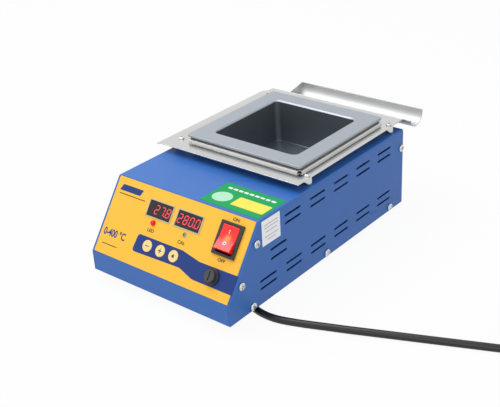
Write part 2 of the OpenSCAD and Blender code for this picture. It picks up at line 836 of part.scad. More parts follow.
// Sheathed probe in the side of the heater block, with its fixing nut
module temperature_probe()
    color(steel_grey) placed() translate([0, bath_y, probe_z]) {
        translate([0, -box_w / 2 - 10, 0])
            rod_y(probe_d, box_w / 2 - block_w / 2 + 10 + probe_depth);
        translate([0, -box_w / 2 - 4, 0])
            rotate([-90, 0, 0]) cylinder(d = 8, h = 4, $fn = 6);
    }

module insulation()
    color(fibre_white) placed() translate([0, bath_y, 0])
        difference() {
            centred_block(box_w - 2 * box_t, box_w - 2 * box_t, lip_top - box_bottom - box_t,
                box_bottom + box_t);
            centred_block(box_w - 2 * box_t - 2 * wool_t, box_w - 2 * box_t - 2 * wool_t,
                case_h, block_bottom);
            translate([0, -box_w / 2, probe_z]) rod_y(probe_d + 0.2, box_t + wool_t + over);
        }

module heater_box()
    color(steel_bright) placed() translate([0, bath_y, 0])
        difference() {
            union() {
                centred_block(box_w, box_w, lip_top - box_bottom, box_bottom);
                centred_block(box_w + 2 * lip_w, box_w + 2 * lip_w, lip_h, tray_top);
            }
            centred_block(box_w - 2 * box_t, box_w - 2 * box_t, case_h, box_bottom + box_t);
            square_frame(box_w + 2 * lip_w - 2 * box_t, box_w, lip_h - box_t + over, tray_top - over);
            for (x = [-1, 1], y = [-1, 1])
                translate([x * lip_notch, y * lip_notch, tray_top - over])
                    centred_block(lip_cut, lip_cut, lip_h + 2 * over);
            translate([0, -box_w / 2 - over, probe_z]) rod_y(probe_d + 0.2, box_t + 2 * over);
        }

module box_pillars()
    color(steel_grey) placed() translate([0, bath_y, sheet_t])
        for (x = [-1, 1], y = [-1, 1])
            translate([x * (box_w / 2 - 10), y * (box_w / 2 - 10), 0])
                cylinder(d = 8, h = box_raise, $fn = 32);

// ---- Drip tray --------------------------------------------------------

// Half-round gutter behind the case, closed at its left end
module gutter() {
    len = gutter_left_x + gutter_right_x;
    translate([-gutter_left_x, gutter_y, gutter_z])
        difference() {
            rod_x(2 * gutter_r, len);
            translate([tray_t, 0, 0]) rod_x(2 * (gutter_r - tray_t), len);
            rotate([gutter_rise, 0, 0])
                translate([-over, -2 * gutter_r, 0]) cube([len + 2 * over, 4 * gutter_r, 2 * gutter_r]);
        }
}

// Leg folded down beside a tray screw: upright behind, slanted in front
module tray_leg(side, y)
    translate([side > 0 ? tray_right_x - tray_t : -tray_screw_dx / 2 - 5, y + 1.4, case_h])
        rotate([90, 0, 90])
            linear_extrude(tray_t)
                polygon([[0, tray_raise + eps], [-leg_w, tray_raise + eps], [-leg_w * 0.16, 0], [0, 0]]);

module drip_tray()
    color(steel_bright) placed() {
        difference() {
            union() {
                translate([-tray_left_x, tray_front_y, case_h + tray_raise])
                    cube([tray_left_x + tray_right_x, tray_back_y - tray_front_y, tray_t]);
                translate([-tray_left_x, tray_front_y + 0.5, tray_top])
                    rotate([0, 180 - side_lip_angle, 0])
                        cube([side_lip_w, lip_end_y - tray_front_y, tray_t]);
            }
            translate([0, bath_y, case_h]) centred_block(tray_hole_w, tray_hole_w, 20);
            at_tray_screws() cylinder(d = tray_screw_d + 2 * slip, h = 2 * case_h, $fn = 24);
        }
        gutter();
        for (side = [-1, 1], end = [-1, 1])
            tray_leg(side, bath_y + end * tray_screw_dy / 2);
    }

module tray_screws()
    color(steel_bright) placed()
        at_tray_screws()
            translate([0, 0, tray_top]) pan_screw(6, 2, tray_screw_d, tray_raise + tray_t + 6);

module tray_nuts()
    color(steel_grey) placed()
        at_tray_screws()
            translate([0, 0, case_h - sheet_t - m3_nut_h])
                hex_nut(m3_nut_w, m3_nut_h, tray_screw_d + 2 * slip);

// ---- Power electronics ------------------------------------------------

module power_board()
    color(board_green) placed()
        translate([-power_w / 2, power_y, sheet_t + power_raise])
            cube([power_w, power_d, board_t]);

module power_pillars()
    color(steel_grey) placed()
        for (x = [-1, 1], y = [power_y + 5, power_y + power_d - 5])
            translate([x * (power_w / 2 - 5), y, sheet_t])
                cylinder(d = post_d, h = power_raise, $fn = 32);

// Laminated core with a bobbin through it
module transformer()
    color([0.75, 0.62, 0.25]) placed()
        translate([transformer_x, power_y + power_d / 2, power_top]) {
            centred_block(core_w, core_d, core_h);
            centred_block(bobbin_w, bobbin_d, bobbin_h, core_h - bobbin_h - 5);
            centred_block(core_w - 5, bobbin_d, core_h - bobbin_h - 5 + eps);
        }

// Finned extrusion that stands on the board
module heat_sink()
    color(steel_grey) placed() translate([sink_x, sink_y, power_top]) {
        centred_block(sink_w, sink_t, sink_h);
        for (i = [-3:3])
            translate([i * (sink_w - fin_t) / 6, (sink_t + fin_l) / 2 - eps, 0])
                centred_block(fin_t, fin_l, sink_h);
    }

module triac()
    color(plastic_black) placed()
        translate([sink_x, sink_y - sink_t / 2 - triac_t / 2, power_top])
            centred_block(10, triac_t, 18);

module terminal_block()
    color(plastic_black) placed() translate([0, power_y + 8, power_top])
        difference() {
            centred_block(5 * terminal_pitch, terminal_w, 11);
            for (i = [-2:2])
                translate([i * terminal_pitch, 0, 6])
                    cylinder(d = terminal_well_d, h = 10, $fn = 24);
        }

module heater_terminals()
    color(fibre_white) placed()
        translate([heater_terminal_x, bath_y - box_w / 2 - heater_terminal_d / 2, probe_z])
            difference() {
                centred_block(30, heater_terminal_d, 12);
                for (side = [-1, 1])
                    translate([side * 8, 0, 7]) cylinder(d = terminal_well_d, h = 10, $fn = 24);
            }

// Protective-earth stud inside the rear panel, with its nut
module earth_stud()
    color(brass_tone) placed() translate([earth_x, case_d - sheet_t, gland_z]) rotate([90, 0, 0]) {
        cylinder(d = 4, h = 12, $fn = 24);
        cylinder(d = m4_nut_w / cos(30), h = m4_nut_h, $fn = 6);
    }

// ---- Feet and strain relief -------------------------------------------

module rubber_feet()
    color(rubber_black) placed()
        at_feet()
            translate([0, 0, -foot_h])
                difference() {
                    cylinder(d1 = foot_base_d, d2 = foot_d, h = foot_h, $fn = 40);
                    translate([0, 0, -over]) cylinder(d = 8.4, h = foot_recess + over, $fn = 32);
                    cylinder(d = screw_d + 2 * slip, h = foot_h + over, $fn = 24);
                }

module foot_screws()
    color(steel_grey) placed()
        at_feet()
            translate([0, 0, foot_recess - foot_h])
                rotate([180, 0, 0])
                    pan_screw(screw_head_d, screw_head_h, screw_d,
                        foot_h - foot_recess + sheet_t + m4_nut_h + 1);

module foot_nuts()
    color(steel_grey) placed()
        at_feet() translate([0, 0, sheet_t]) hex_nut(m4_nut_w, m4_nut_h, screw_d + 2 * slip);

module cord_gland()
    color(rubber_black) placed() translate([gland_x, case_d, gland_z]) {
        translate([0, -sheet_t - 5, 0]) rod_y(gland_body_d, sheet_t + 5 + eps);
        rod_y(gland_head_d, 3);
        translate([0, 3 - eps, 0])
            rotate([-90, 0, 0])
                cylinder(d1 = gland_body_d, d2 = cord_d + 1.6, h = gland_len - 3 + eps, $fn = 32);
    }

module gland_nut()
    color(plastic_black) placed()
        translate([gland_x, case_d - sheet_t - 4, gland_z])
            rotate([-90, 0, 0]) hex_nut(gland_head_d, 4, gland_body_d + 2 * slip);

// ---- Free cord --------------------------------------------------------

function tangent(path, i) =
    let (a = path[max(i - 1, 0)], b = path[min(i + 1, len(path) - 1)])
    (b - a) / norm(b - a);

function ring_axes(path, i) =
    let (t = tangent(path, i), side = cross([0, 0, 1], t), flat = side / norm(side))
    [flat, cross(t, flat)];

// Round tube swept along a list of points, each end face square to its last stretch
module swept_tube(path, d, sides = 10) {
    last = len(path) - 1;
    rings = [for (i = [0:last]) let (axes = ring_axes(path, i))
        for (k = [0:sides - 1]) let (a = 360 * k / sides)
            path[i] + d / 2 * (cos(a) * axes[0] + sin(a) * axes[1])];
    walls = [for (i = [0:last - 1], k = [0:sides - 1]) let (n = (k + 1) % sides)
        [i * sides + k, i * sides + n, (i + 1) * sides + n, (i + 1) * sides + k]];
    caps = [[for (k = [0:sides - 1]) sides - 1 - k], [for (k = [0:sides - 1]) last * sides + k]];
    polyhedron(points = rings, faces = concat(walls, caps), convexity = 6);
}

module power_cord() color(rubber_black) swept_tube(cord_route, cord_d);

module plug_lead() color(rubber_black) swept_tube(lead_route, cord_d);

// Straight cord from a point on, along a level direction
module cord_tail(from, way, length)
    translate(from)
        rotate([0, 90, atan2(way[1], way[0])])
            cylinder(d = cord_d - 4 * slip, h = length, $fn = 32);

// Wound cord: the outer shape of the turns, with the straight ends on it
module cord_coil()
    color(rubber_black) {
        translate([coil_center[0], coil_center[1], 0])
            rotate_extrude($fn = 72)
                translate([coil_r - cord_d / 2, 0]) square([cord_d, coil_h]);
        cord_tail(cord_end, cord_way, coil_tail);
        cord_tail(lead_start - lead_tail * lead_way, lead_way, lead_tail);
    }

module at_plug()
    translate(lead_route[len(lead_route) - 1])
        rotate([0, 0, coil_exit_angle + 90]) rotate([90, 0, 90]) children();

module rounded_plate(w, h, r, z, t)
    hull()
        for (x = [-1, 1], y = [-1, 1])
            translate([x * (w / 2 - r), y * (h / 2 - r), z]) cylinder(r = r, h = t, $fn = 24);

// Moulded plug: boot, waisted grip and flat face
module mains_plug()
    color(rubber_black) at_plug() {
        cylinder(d1 = cord_d + 2, d2 = 15, h = plug_boot + eps, $fn = 32);
        hull() {
            rounded_plate(20, 18, 6, plug_boot, 1);
            rounded_plate(plug_w, plug_h, 8, plug_boot + plug_l - 9, 9);
        }
    }

// Two slanted blades and an upright one
module plug_pins()
    color(brass_tone) at_plug() {
        face = plug_boot + plug_l;
        for (side = [-1, 1])
            translate([side * 6.9, 4, face]) rotate([0, 0, side * 30])
                centred_block(1.6, 6.3, 17);
        translate([0, -6.5, face]) centred_block(1.6, 6.3, 20);
    }

// ---- Stickers ---------------------------------------------------------

module green_label()
    color([0.05, 0.65, 0.38]) placed()
        translate([green_x, green_y, case_h]) cube([green_w, green_l, film_t]);

module white_label()
    color([0.95, 0.95, 0.95]) placed()
        translate([case_w / 2, white_y, white_z]) cube([film_t, white_l, white_h]);

cover();
chassis();
cover_screws();
front_label();
left_display();
right_display();
display_windows();
status_led();
cal_trimmer();
cal_screw();
minus_button();
plus_button();
set_button();
button_switches();
control_board();
board_pillars();
switch_housing();
mains_rocker();
switch_terminals();
fuse_holder();
fuse_nut();
fuse_carrier();
fuse_link();
fuse_cap();
solder_bath();
rim_gasket();
heater_block();
heating_rods();
temperature_probe();
insulation();
heater_box();
box_pillars();
drip_tray();
tray_screws();
tray_nuts();
power_board();
power_pillars();
transformer();
heat_sink();
triac();
terminal_block();
heater_terminals();
earth_stud();
rubber_feet();
foot_screws();
foot_nuts();
cord_gland();
gland_nut();
power_cord();
cord_coil();
plug_lead();
mains_plug();
plug_pins();
green_label();
white_label();
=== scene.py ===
"""Bench solder pot: the finishes, printed panel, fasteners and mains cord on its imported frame."""

import json
import logging
import math
from dataclasses import dataclass, field
from enum import Enum
from typing import Callable, Sequence

import bmesh
import bpy
from mathutils import Matrix, Quaternion, Vector

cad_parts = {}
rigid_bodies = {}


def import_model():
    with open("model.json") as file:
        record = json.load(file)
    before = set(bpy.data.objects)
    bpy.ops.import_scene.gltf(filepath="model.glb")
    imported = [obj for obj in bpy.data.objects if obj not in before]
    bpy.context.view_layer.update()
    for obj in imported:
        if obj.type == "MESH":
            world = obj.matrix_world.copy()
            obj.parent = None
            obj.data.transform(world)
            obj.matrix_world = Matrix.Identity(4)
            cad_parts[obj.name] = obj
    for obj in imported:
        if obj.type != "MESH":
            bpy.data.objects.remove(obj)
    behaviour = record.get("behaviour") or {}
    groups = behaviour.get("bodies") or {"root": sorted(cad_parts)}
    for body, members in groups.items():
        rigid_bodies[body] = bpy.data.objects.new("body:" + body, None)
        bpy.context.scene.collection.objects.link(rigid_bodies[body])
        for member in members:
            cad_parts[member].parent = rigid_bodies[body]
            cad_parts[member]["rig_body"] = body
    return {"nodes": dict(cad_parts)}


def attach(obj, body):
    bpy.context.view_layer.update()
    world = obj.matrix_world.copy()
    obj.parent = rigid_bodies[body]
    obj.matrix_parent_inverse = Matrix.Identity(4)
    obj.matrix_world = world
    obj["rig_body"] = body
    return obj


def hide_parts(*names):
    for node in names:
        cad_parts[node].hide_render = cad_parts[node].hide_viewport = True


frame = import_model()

log = logging.getLogger("solder_pot")

MM = 0.001
Point = tuple[float, float, float]
Outline = list[tuple[float, float]]

# Places in the frame, millimetres: the case's middle, its lower front edge and its bottom
CASE_X, CASE_Y, CASE_Z = 1.4802, -153.5, 9.0
CASE_W, CASE_D, CASE_H = 170.0, 279.0, 82.5
FRONT_H, SLOPE_RUN = 20.3, 46.0
SLOPE = math.atan2(CASE_H - FRONT_H, SLOPE_RUN)
SLOPE_LEN = math.hypot(CASE_H - FRONT_H, SLOPE_RUN)
BATH_Y = CASE_D - 84.6
TRAY_TOP = CASE_H + 8.5
LIFT = 0.01     # by which a print clears what it lies on


# ---- Colours, nodes and finishes ------------------------------------------


def linear(colour: str) -> tuple[float, float, float, float]:
    """Turns an sRGB hex colour to linear light.

    Args:
        colour: Six hex digits, with or without a leading #.

    Returns:
        Red, green, blue and an alpha of 1.
    """
    digits = colour.lstrip("#")
    channels = []
    for i in (0, 2, 4):
        c = int(digits[i:i + 2], 16) / 255
        channels.append(c / 12.92 if c <= 0.04045 else ((c + 0.055) / 1.055) ** 2.4)
    return (*channels, 1.0)


def add(tree: bpy.types.NodeTree, kind: str, inputs: dict | None = None, **settings) -> bpy.types.Node:
    """Adds one node with its settings and links.

    Args:
        tree: The node tree to add to.
        kind: The node's type name.
        inputs: Socket name or index, to a value or to the socket that feeds it.
        **settings: Attributes of the node.

    Returns:
        The new node.
    """
    node = tree.nodes.new(kind)
    for name, value in settings.items():
        setattr(node, name, value)
    for name, value in (inputs or {}).items():
        if isinstance(value, bpy.types.NodeSocket):
            tree.links.new(value, node.inputs[name])
        else:
            node.inputs[name].default_value = value
    return node


class Surface(Enum):
    """How a surface was made, which sets the pattern of its grain."""

    POWDER_COATED = "powder coated"
    BRUSHED = "brushed"
    POLISHED = "polished"
    CAST = "cast"
    MOULDED = "moulded"
    PRINTED = "printed"
    FIBRE = "fibre"


@dataclass(frozen=True)
class Finish:
    """One finish: its material, its colour and the grain its making leaves."""

    name: str
    colour: str
    surface: Surface
    roughness: float
    metallic: float = 0.0
    ior: float = 1.5
    grain: float = 1.0              # size of the grain, millimetres
    relief: float = 0.01            # height of the grain, millimetres
    mottle: float = 0.05            # share by which the colour wanders
    along: Point = (1.0, 1.0, 1.0)  # squeeze of the grain on each axis
    coat: float = 0.0
    glow: float = 0.0
    see_through: float = 0.0

    def material(self) -> bpy.types.Material:
        """Builds the finish once and gives the same material after that.

        Returns:
            The material, named for the finish.
        """
        known = bpy.data.materials.get(self.name)
        if known:
            return known
        mat = bpy.data.materials.new(self.name)
        mat.use_nodes = True
        tree = mat.node_tree
        tree.nodes.clear()
        place = add(tree, "ShaderNodeTexCoord").outputs["Object"]
        grain = self._grain(tree, place)
        cloud = add(tree, "ShaderNodeTexNoise",
                    {"Vector": place, "Scale": 1 / (18 * MM), "Detail": 3.0}).outputs["Fac"]
        base = linear(self.colour)
        dark = [c * (1 - 2 * self.mottle) for c in base[:3]] + [1.0]
        tone = add(tree, "ShaderNodeMix", {"Factor": cloud, "A": dark, "B": base}, data_type="RGBA")
        shade = add(tree, "ShaderNodeMapRange",
                    {"Value": grain, "To Min": self.roughness * 0.88, "To Max": self.roughness * 1.12})
        bump = add(tree, "ShaderNodeBump", {"Height": grain, "Strength": 1.0, "Distance": self.relief * MM})
        shader = add(tree, "ShaderNodeBsdfPrincipled", {
            "Base Color": tone.outputs["Result"], "Roughness": shade.outputs["Result"],
            "Normal": bump.outputs["Normal"]})
        shader.inputs["Metallic"].default_value = self.metallic
        shader.inputs["IOR"].default_value = self.ior
        shader.inputs["Coat Weight"].default_value = self.coat
        shader.inputs["Coat Roughness"].default_value = 0.12
        shader.inputs["Transmission Weight"].default_value = self.see_through
        if self.glow:
            shader.inputs["Emission Color"].default_value = base
            shader.inputs["Emission Strength"].default_value = self.glow
        add(tree, "ShaderNodeOutputMaterial", {"Surface": shader.outputs["BSDF"]})
        return mat

    def _grain(self, tree: bpy.types.NodeTree, place: bpy.types.NodeSocket) -> bpy.types.NodeSocket:
        """Adds the pattern that the way of making leaves on the surface."""
        squeezed = add(tree, "ShaderNodeMapping", {"Vector": place, "Scale": self.along}).outputs["Vector"]
        scale = 1 / (self.grain * MM)
        if self.surface is Surface.CAST:
            return add(tree, "ShaderNodeTexVoronoi", {"Vector": squeezed, "Scale": scale},
                       feature="SMOOTH_F1").outputs["Distance"]
        detail = 6.0 if self.surface in (Surface.BRUSHED, Surface.FIBRE) else 2.0
        return add(tree, "ShaderNodeTexNoise",
                   {"Vector": squeezed, "Scale": scale, "Detail": detail}).outputs["Fac"]


# Baked epoxy powder on sheet steel: satin, with a fine orange peel
BLUE_POWDER = Finish("blue_powder_coat", "#2A66B5", Surface.POWDER_COATED, 0.46, grain=1.4, relief=0.012,
                     mottle=0.03)
# Screen-printed polyester overlay: smooth film with a faint texture
ORANGE_FILM = Finish("orange_polyester_film", "#F7BC40", Surface.PRINTED, 0.42, ior=1.36, grain=0.9,
                     relief=0.004, mottle=0.015)
NAVY_INK = Finish("navy_screen_ink", "#1E3A7C", Surface.PRINTED, 0.4, ior=1.36, grain=0.9,
                  relief=0.004, mottle=0.03)
BROWN_INK = Finish("brown_screen_ink", "#40361F", Surface.PRINTED, 0.5, ior=1.36, mottle=0.03)
WHITE_INK = Finish("white_screen_ink", "#F2F6F0", Surface.PRINTED, 0.45, mottle=0.02)
GREY_INK = Finish("grey_screen_ink", "#A9ADB6", Surface.PRINTED, 0.5, mottle=0.03)
# Self-adhesive vinyl: glossy, very even
GREEN_VINYL = Finish("green_vinyl", "#009A52", Surface.PRINTED, 0.5, ior=1.3, grain=2.0, relief=0.003,
                     mottle=0.02)
PALE_VINYL = Finish("pale_green_print", "#A9DDBD", Surface.PRINTED, 0.4, ior=1.36, mottle=0.02)
YELLOW_VINYL = Finish("yellow_print", "#EBDD54", Surface.PRINTED, 0.4, ior=1.36, mottle=0.02)
WHITE_PAPER = Finish("white_paper_label", "#FAFBFD", Surface.PRINTED, 0.55, grain=0.4, relief=0.004,
                     mottle=0.02)
# Stainless sheet with a bright mill finish: nearly a mirror, with a faint rolling grain
POLISHED_STAINLESS = Finish("polished_stainless_sheet", "#EEEEED", Surface.POLISHED, 0.3, metallic=0.6,
                            grain=0.7, relief=0.0003)
TRAY_STAINLESS = Finish("tray_stainless_sheet", "#D2D2D0", Surface.BRUSHED, 0.2, metallic=1.0, grain=0.7,
                        relief=0.0006)
# Rougher stainless for the rolled gutter; its darker tone is painted shade in the gutter's hollow
GUTTER_STAINLESS_SHADED = Finish("rolled_stainless_painted_shade", "#C6C7C7", Surface.BRUSHED, 0.55, metallic=1.0,
                        grain=0.7, relief=0.002)
SATIN_STAINLESS = Finish("satin_stainless_sheet", "#D9DADB", Surface.BRUSHED, 0.3, metallic=1.0,
                         grain=0.5, relief=0.004, along=(0.05, 1.0, 1.0), mottle=0.03)
# Hard grey coating baked on the cast bath: a dull metal sheen, slightly grainy. Its darker copy, for the
# faces inside the mouth, is painted shade in the cavity
BATH_CAVITY_SHADE = Finish("bath_coating_painted_cavity_shade", "#7D858C", Surface.CAST, 0.4, metallic=0.85, grain=1.1,
                     relief=0.012, mottle=0.05)
BATH_COATING = Finish("grey_bath_coating", "#A4ABB3", Surface.CAST, 0.42, metallic=0.72, grain=1.1,
                      relief=0.012, mottle=0.04)
# Near-black gasket fibre: painted shade for the dark gap under the bath's flange
GASKET_SHADE_FIBRE = Finish("gasket_fibre_painted_shade", "#2C2A28", Surface.FIBRE, 0.85, grain=0.6, relief=0.05)
CERAMIC_FIBRE = Finish("ceramic_fibre", "#DCD8CC", Surface.FIBRE, 0.95, grain=1.2, relief=0.2)
STEATITE = Finish("steatite_ceramic", "#E6E0D2", Surface.CAST, 0.5, grain=0.5, relief=0.01)
CAST_ALUMINIUM = Finish("cast_aluminium", "#A9ACB0", Surface.CAST, 0.5, metallic=1.0, grain=1.5,
                        relief=0.04)
EXTRUDED_ALUMINIUM = Finish("black_anodised_aluminium", "#26272A", Surface.BRUSHED, 0.4, metallic=0.6,
                            grain=0.4, relief=0.004, along=(1.0, 1.0, 0.05))
NICKEL = Finish("nickel_plated_steel", "#D5D6D6", Surface.POLISHED, 0.2, metallic=1.0, grain=0.8,
                relief=0.003)
ZINC = Finish("zinc_plated_steel", "#A4A8AC", Surface.POLISHED, 0.34, metallic=1.0, grain=0.8,
              relief=0.006)
BRASS = Finish("brass", "#C9A24E", Surface.POLISHED, 0.28, metallic=1.0, grain=0.6, relief=0.004)
LAMINATIONS = Finish("transformer_laminations", "#6E675C", Surface.BRUSHED, 0.5, metallic=0.7, grain=0.5,
                     relief=0.03, along=(0.05, 1.0, 0.05))
FIBREGLASS = Finish("solder_masked_fibreglass", "#1E6B3C", Surface.MOULDED, 0.4, grain=0.8, relief=0.006,
                    coat=0.3)
# Moulded ABS with a fine spark-eroded grain
GREY_CAP = Finish("dark_grey_abs", "#3C4041", Surface.MOULDED, 0.4, grain=0.35, relief=0.008, mottle=0.03)
BLACK_ABS = Finish("black_abs", "#2A2A2C", Surface.MOULDED, 0.42, grain=0.35, relief=0.01, mottle=0.03)
GREY_BEZEL = Finish("smoke_grey_abs", "#C2B998", Surface.MOULDED, 0.4, grain=0.35, relief=0.006)
CREAM_ABS = Finish("cream_abs", "#F8D68A", Surface.MOULDED, 0.4, grain=0.35, relief=0.005, mottle=0.02)
RED_FILTER = Finish("smoked_red_acrylic", "#1E1216", Surface.POLISHED, 0.1, ior=1.49, grain=6.0,
                    relief=0.001)
RED_LENS = Finish("red_epoxy_lens", "#C2140E", Surface.POLISHED, 0.16, ior=1.42, grain=4.0, relief=0.001,
                  glow=0.45)
LIT_SEGMENT = Finish("lit_red_segment", "#D8434E", Surface.PRINTED, 0.4, glow=0.5, mottle=0.02)
DARK_SEGMENT = Finish("unlit_segment", "#33181C", Surface.PRINTED, 0.3, mottle=0.02)
GLASS = Finish("fuse_glass", "#F4F8F8", Surface.POLISHED, 0.03, ior=1.52, grain=5.0, relief=0.0005,
               see_through=0.9)
# Soft PVC jacket: matt black with a dull sheen
PVC = Finish("black_pvc_jacket", "#0F0F10", Surface.MOULDED, 0.36, grain=0.8, relief=0.012, mottle=0.06)
RUBBER = Finish("black_rubber", "#1C1C1C", Surface.MOULDED, 0.7, grain=0.6, relief=0.02, mottle=0.06)


# ---- Meshes ---------------------------------------------------------------


def new_object(name: str, mesh: bpy.types.Mesh, finish: Finish) -> bpy.types.Object:
    """Links a mesh into the scene with one finish on it.

    Args:
        name: The piece's name.
        mesh: Its mesh, in metres, in the frame.
        finish: The finish of all its faces.

    Returns:
        The new object, which stands at the origin.
    """
    obj = bpy.data.objects.new(name, mesh)
    bpy.context.scene.collection.objects.link(obj)
    mesh.materials.clear()
    mesh.materials.append(finish.material())
    return obj


def from_bmesh(name: str, shape: bmesh.types.BMesh, finish: Finish,
               smooth: float | None = None) -> bpy.types.Object:
    """Makes a piece from a bmesh, with outward normals.

    Args:
        name: The piece's name.
        shape: The bmesh, which is freed.
        finish: Its finish.
        smooth: Angle in degrees under which edges are shaded smooth, or None for flat faces.

    Returns:
        The new object.
    """
    bmesh.ops.recalc_face_normals(shape, faces=shape.faces)
    mesh = bpy.data.meshes.new(name)
    shape.to_mesh(mesh)
    shape.free()
    if smooth is not None:
        mesh.shade_smooth()
        mesh.set_sharp_from_angle(angle=math.radians(smooth))
    return new_object(name, mesh, finish)


def applied(obj: bpy.types.Object) -> bpy.types.Object:
    """Turns an object's modifiers into its mesh."""
    bpy.context.view_layer.update()
    solid = bpy.data.meshes.new_from_object(obj.evaluated_get(bpy.context.evaluated_depsgraph_get()))
    obj.modifiers.clear()
    obj.data = solid
    return obj


def ride(obj: bpy.types.Object, body: str) -> bpy.types.Object:
    """Fixes a piece to a body and reports it."""
    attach(obj, body)
    log.info("%s: %d faces, on %s", obj.name, len(getattr(obj.data, "polygons", ())), body)
    return obj


def edge_rounded(node: str, finish: Finish, width: float, segments: int = 2,
                 flat: bool = False) -> bpy.types.Object:
    """Stands a copy of a CAD node with broken edges in its place.

    Args:
        node: The CAD node.
        finish: The finish of the copy.
        width: How much of each edge is taken off, millimetres.
        segments: Faces across each rounded edge.
        flat: Whether every face is shaded flat, as on a folded sheet.

    Returns:
        The copy, riding where the node does.
    """
    source = frame["nodes"][node]
    shape = bmesh.new()
    shape.from_mesh(source.data)
    bmesh.ops.remove_doubles(shape, verts=shape.verts, dist=2e-6)
    bmesh.ops.dissolve_limit(shape, angle_limit=math.radians(0.4), verts=shape.verts, edges=shape.edges)
    mesh = bpy.data.meshes.new(node + "_finished")
    shape.to_mesh(mesh)
    shape.free()
    if "custom_normal" in mesh.attributes:
        mesh.attributes.remove(mesh.attributes["custom_normal"])
    mesh.polygons.foreach_set("use_smooth", [not flat] * len(mesh.polygons))
    obj = new_object(node + "_finished", mesh, finish)
    bevel = obj.modifiers.new("broken edges", "BEVEL")
    bevel.width = width * MM
    bevel.segments = segments
    bevel.limit_method = "ANGLE"
    bevel.angle_limit = math.radians(32)
    bevel.use_clamp_overlap = False
    if not flat:
        smooth = obj.modifiers.new("wide faces stay flat", "WEIGHTED_NORMAL")
        smooth.mode, smooth.weight, smooth.keep_sharp = "FACE_AREA", 100, True
    applied(obj)
    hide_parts(node)
    return ride(obj, source["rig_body"])


def lathe(profile: Outline, steps: int, place: Matrix) -> bmesh.types.BMesh:
    """Spins an outline round the local z axis.

    Args:
        profile: [radius, z] pairs in millimetres, from axis to axis.
        steps: Faces round the axis.
        place: Takes local millimetres to the frame's metres.

    Returns:
        The closed bmesh.
    """
    shape = bmesh.new()
    edge = [shape.verts.new((r, 0.0, z)) for r, z in profile]
    lines = [shape.edges.new(pair) for pair in zip(edge, edge[1:])]
    bmesh.ops.spin(shape, geom=edge + lines, cent=(0, 0, 0), axis=(0, 0, 1),
                   angle=math.tau, steps=steps, use_duplicate=False)
    bmesh.ops.remove_doubles(shape, verts=shape.verts, dist=1e-4)
    bmesh.ops.transform(shape, matrix=place, verts=shape.verts)
    return shape


def slab(shape: bmesh.types.BMesh, outline: Outline, low: float, high: float, place: Matrix) -> None:
    """Adds a flat plate to a bmesh.

    Args:
        shape: The bmesh that takes the plate.
        outline: The plate's outline in millimetres, counter-clockwise.
        low: Local z of its underside.
        high: Local z of its top.
        place: Takes local millimetres to the frame's metres.
    """
    foot = [shape.verts.new(place @ Vector((x, y, low))) for x, y in outline]
    top = [shape.verts.new(place @ Vector((x, y, high))) for x, y in outline]
    shape.faces.new(top)
    shape.faces.new(foot[::-1])
    for i, vert in enumerate(foot):
        after = (i + 1) % len(foot)
        shape.faces.new((vert, foot[after], top[after], top[i]))


def rounded(corners: Outline, radius: float | Sequence[float], steps: int = 6) -> Outline:
    """Rounds the corners of a counter-clockwise outline.

    Args:
        corners: The sharp corners, millimetres.
        radius: One radius for all corners, or one for each.
        steps: Faces on each rounded corner.

    Returns:
        The outline with arcs for corners.
    """
    radii = [radius] * len(corners) if isinstance(radius, (int, float)) else list(radius)
    out: Outline = []
    for i, corner in enumerate(corners):
        here = Vector(corner)
        back = (Vector(corners[i - 1]) - here).normalized()
        ahead = (Vector(corners[(i + 1) % len(corners)]) - here).normalized()
        if radii[i] <= 0:
            out.append(tuple(here))
            continue
        half = back.angle(ahead) / 2
        reach = radii[i] / math.tan(half)
        centre = here + (back + ahead).normalized() * (radii[i] / math.sin(half))
        start, end = here + back * reach - centre, here + ahead * reach - centre
        turn = start.angle_signed(end)
        for step in range(steps + 1):
            spoke = start.copy()
            spoke.rotate(Matrix.Rotation(-turn * step / steps, 2))
            out.append(tuple(centre + spoke))
    return out


def box_outline(w: float, h: float, x: float = 0.0, y: float = 0.0) -> Outline:
    """Gives a centred rectangle's corners, counter-clockwise."""
    return [(x - w / 2, y - h / 2), (x + w / 2, y - h / 2), (x + w / 2, y + h / 2), (x - w / 2, y + h / 2)]


def disc_outline(d: float, x: float = 0.0, y: float = 0.0, steps: int = 40) -> Outline:
    """Gives a circle's outline, counter-clockwise."""
    return [(x + d / 2 * math.cos(math.tau * k / steps), y + d / 2 * math.sin(math.tau * k / steps))
            for k in range(steps)]


def printed(name: str, outlines: Sequence[Outline], place: Matrix, finish: Finish, body: str,
            low: float = LIFT, high: float = 3 * LIFT) -> None:
    """Prints flat fields of one ink.

    Args:
        name: The piece's name.
        outlines: The fields' outlines, local millimetres.
        place: Takes local millimetres to the frame's metres.
        finish: The ink.
        body: The body it rides on.
        low: Local z of its underside.
        high: Local z of its top.
    """
    fields = bmesh.new()
    for outline in outlines:
        slab(fields, outline, low, high, place)
    ride(from_bmesh(name, fields, finish), body)


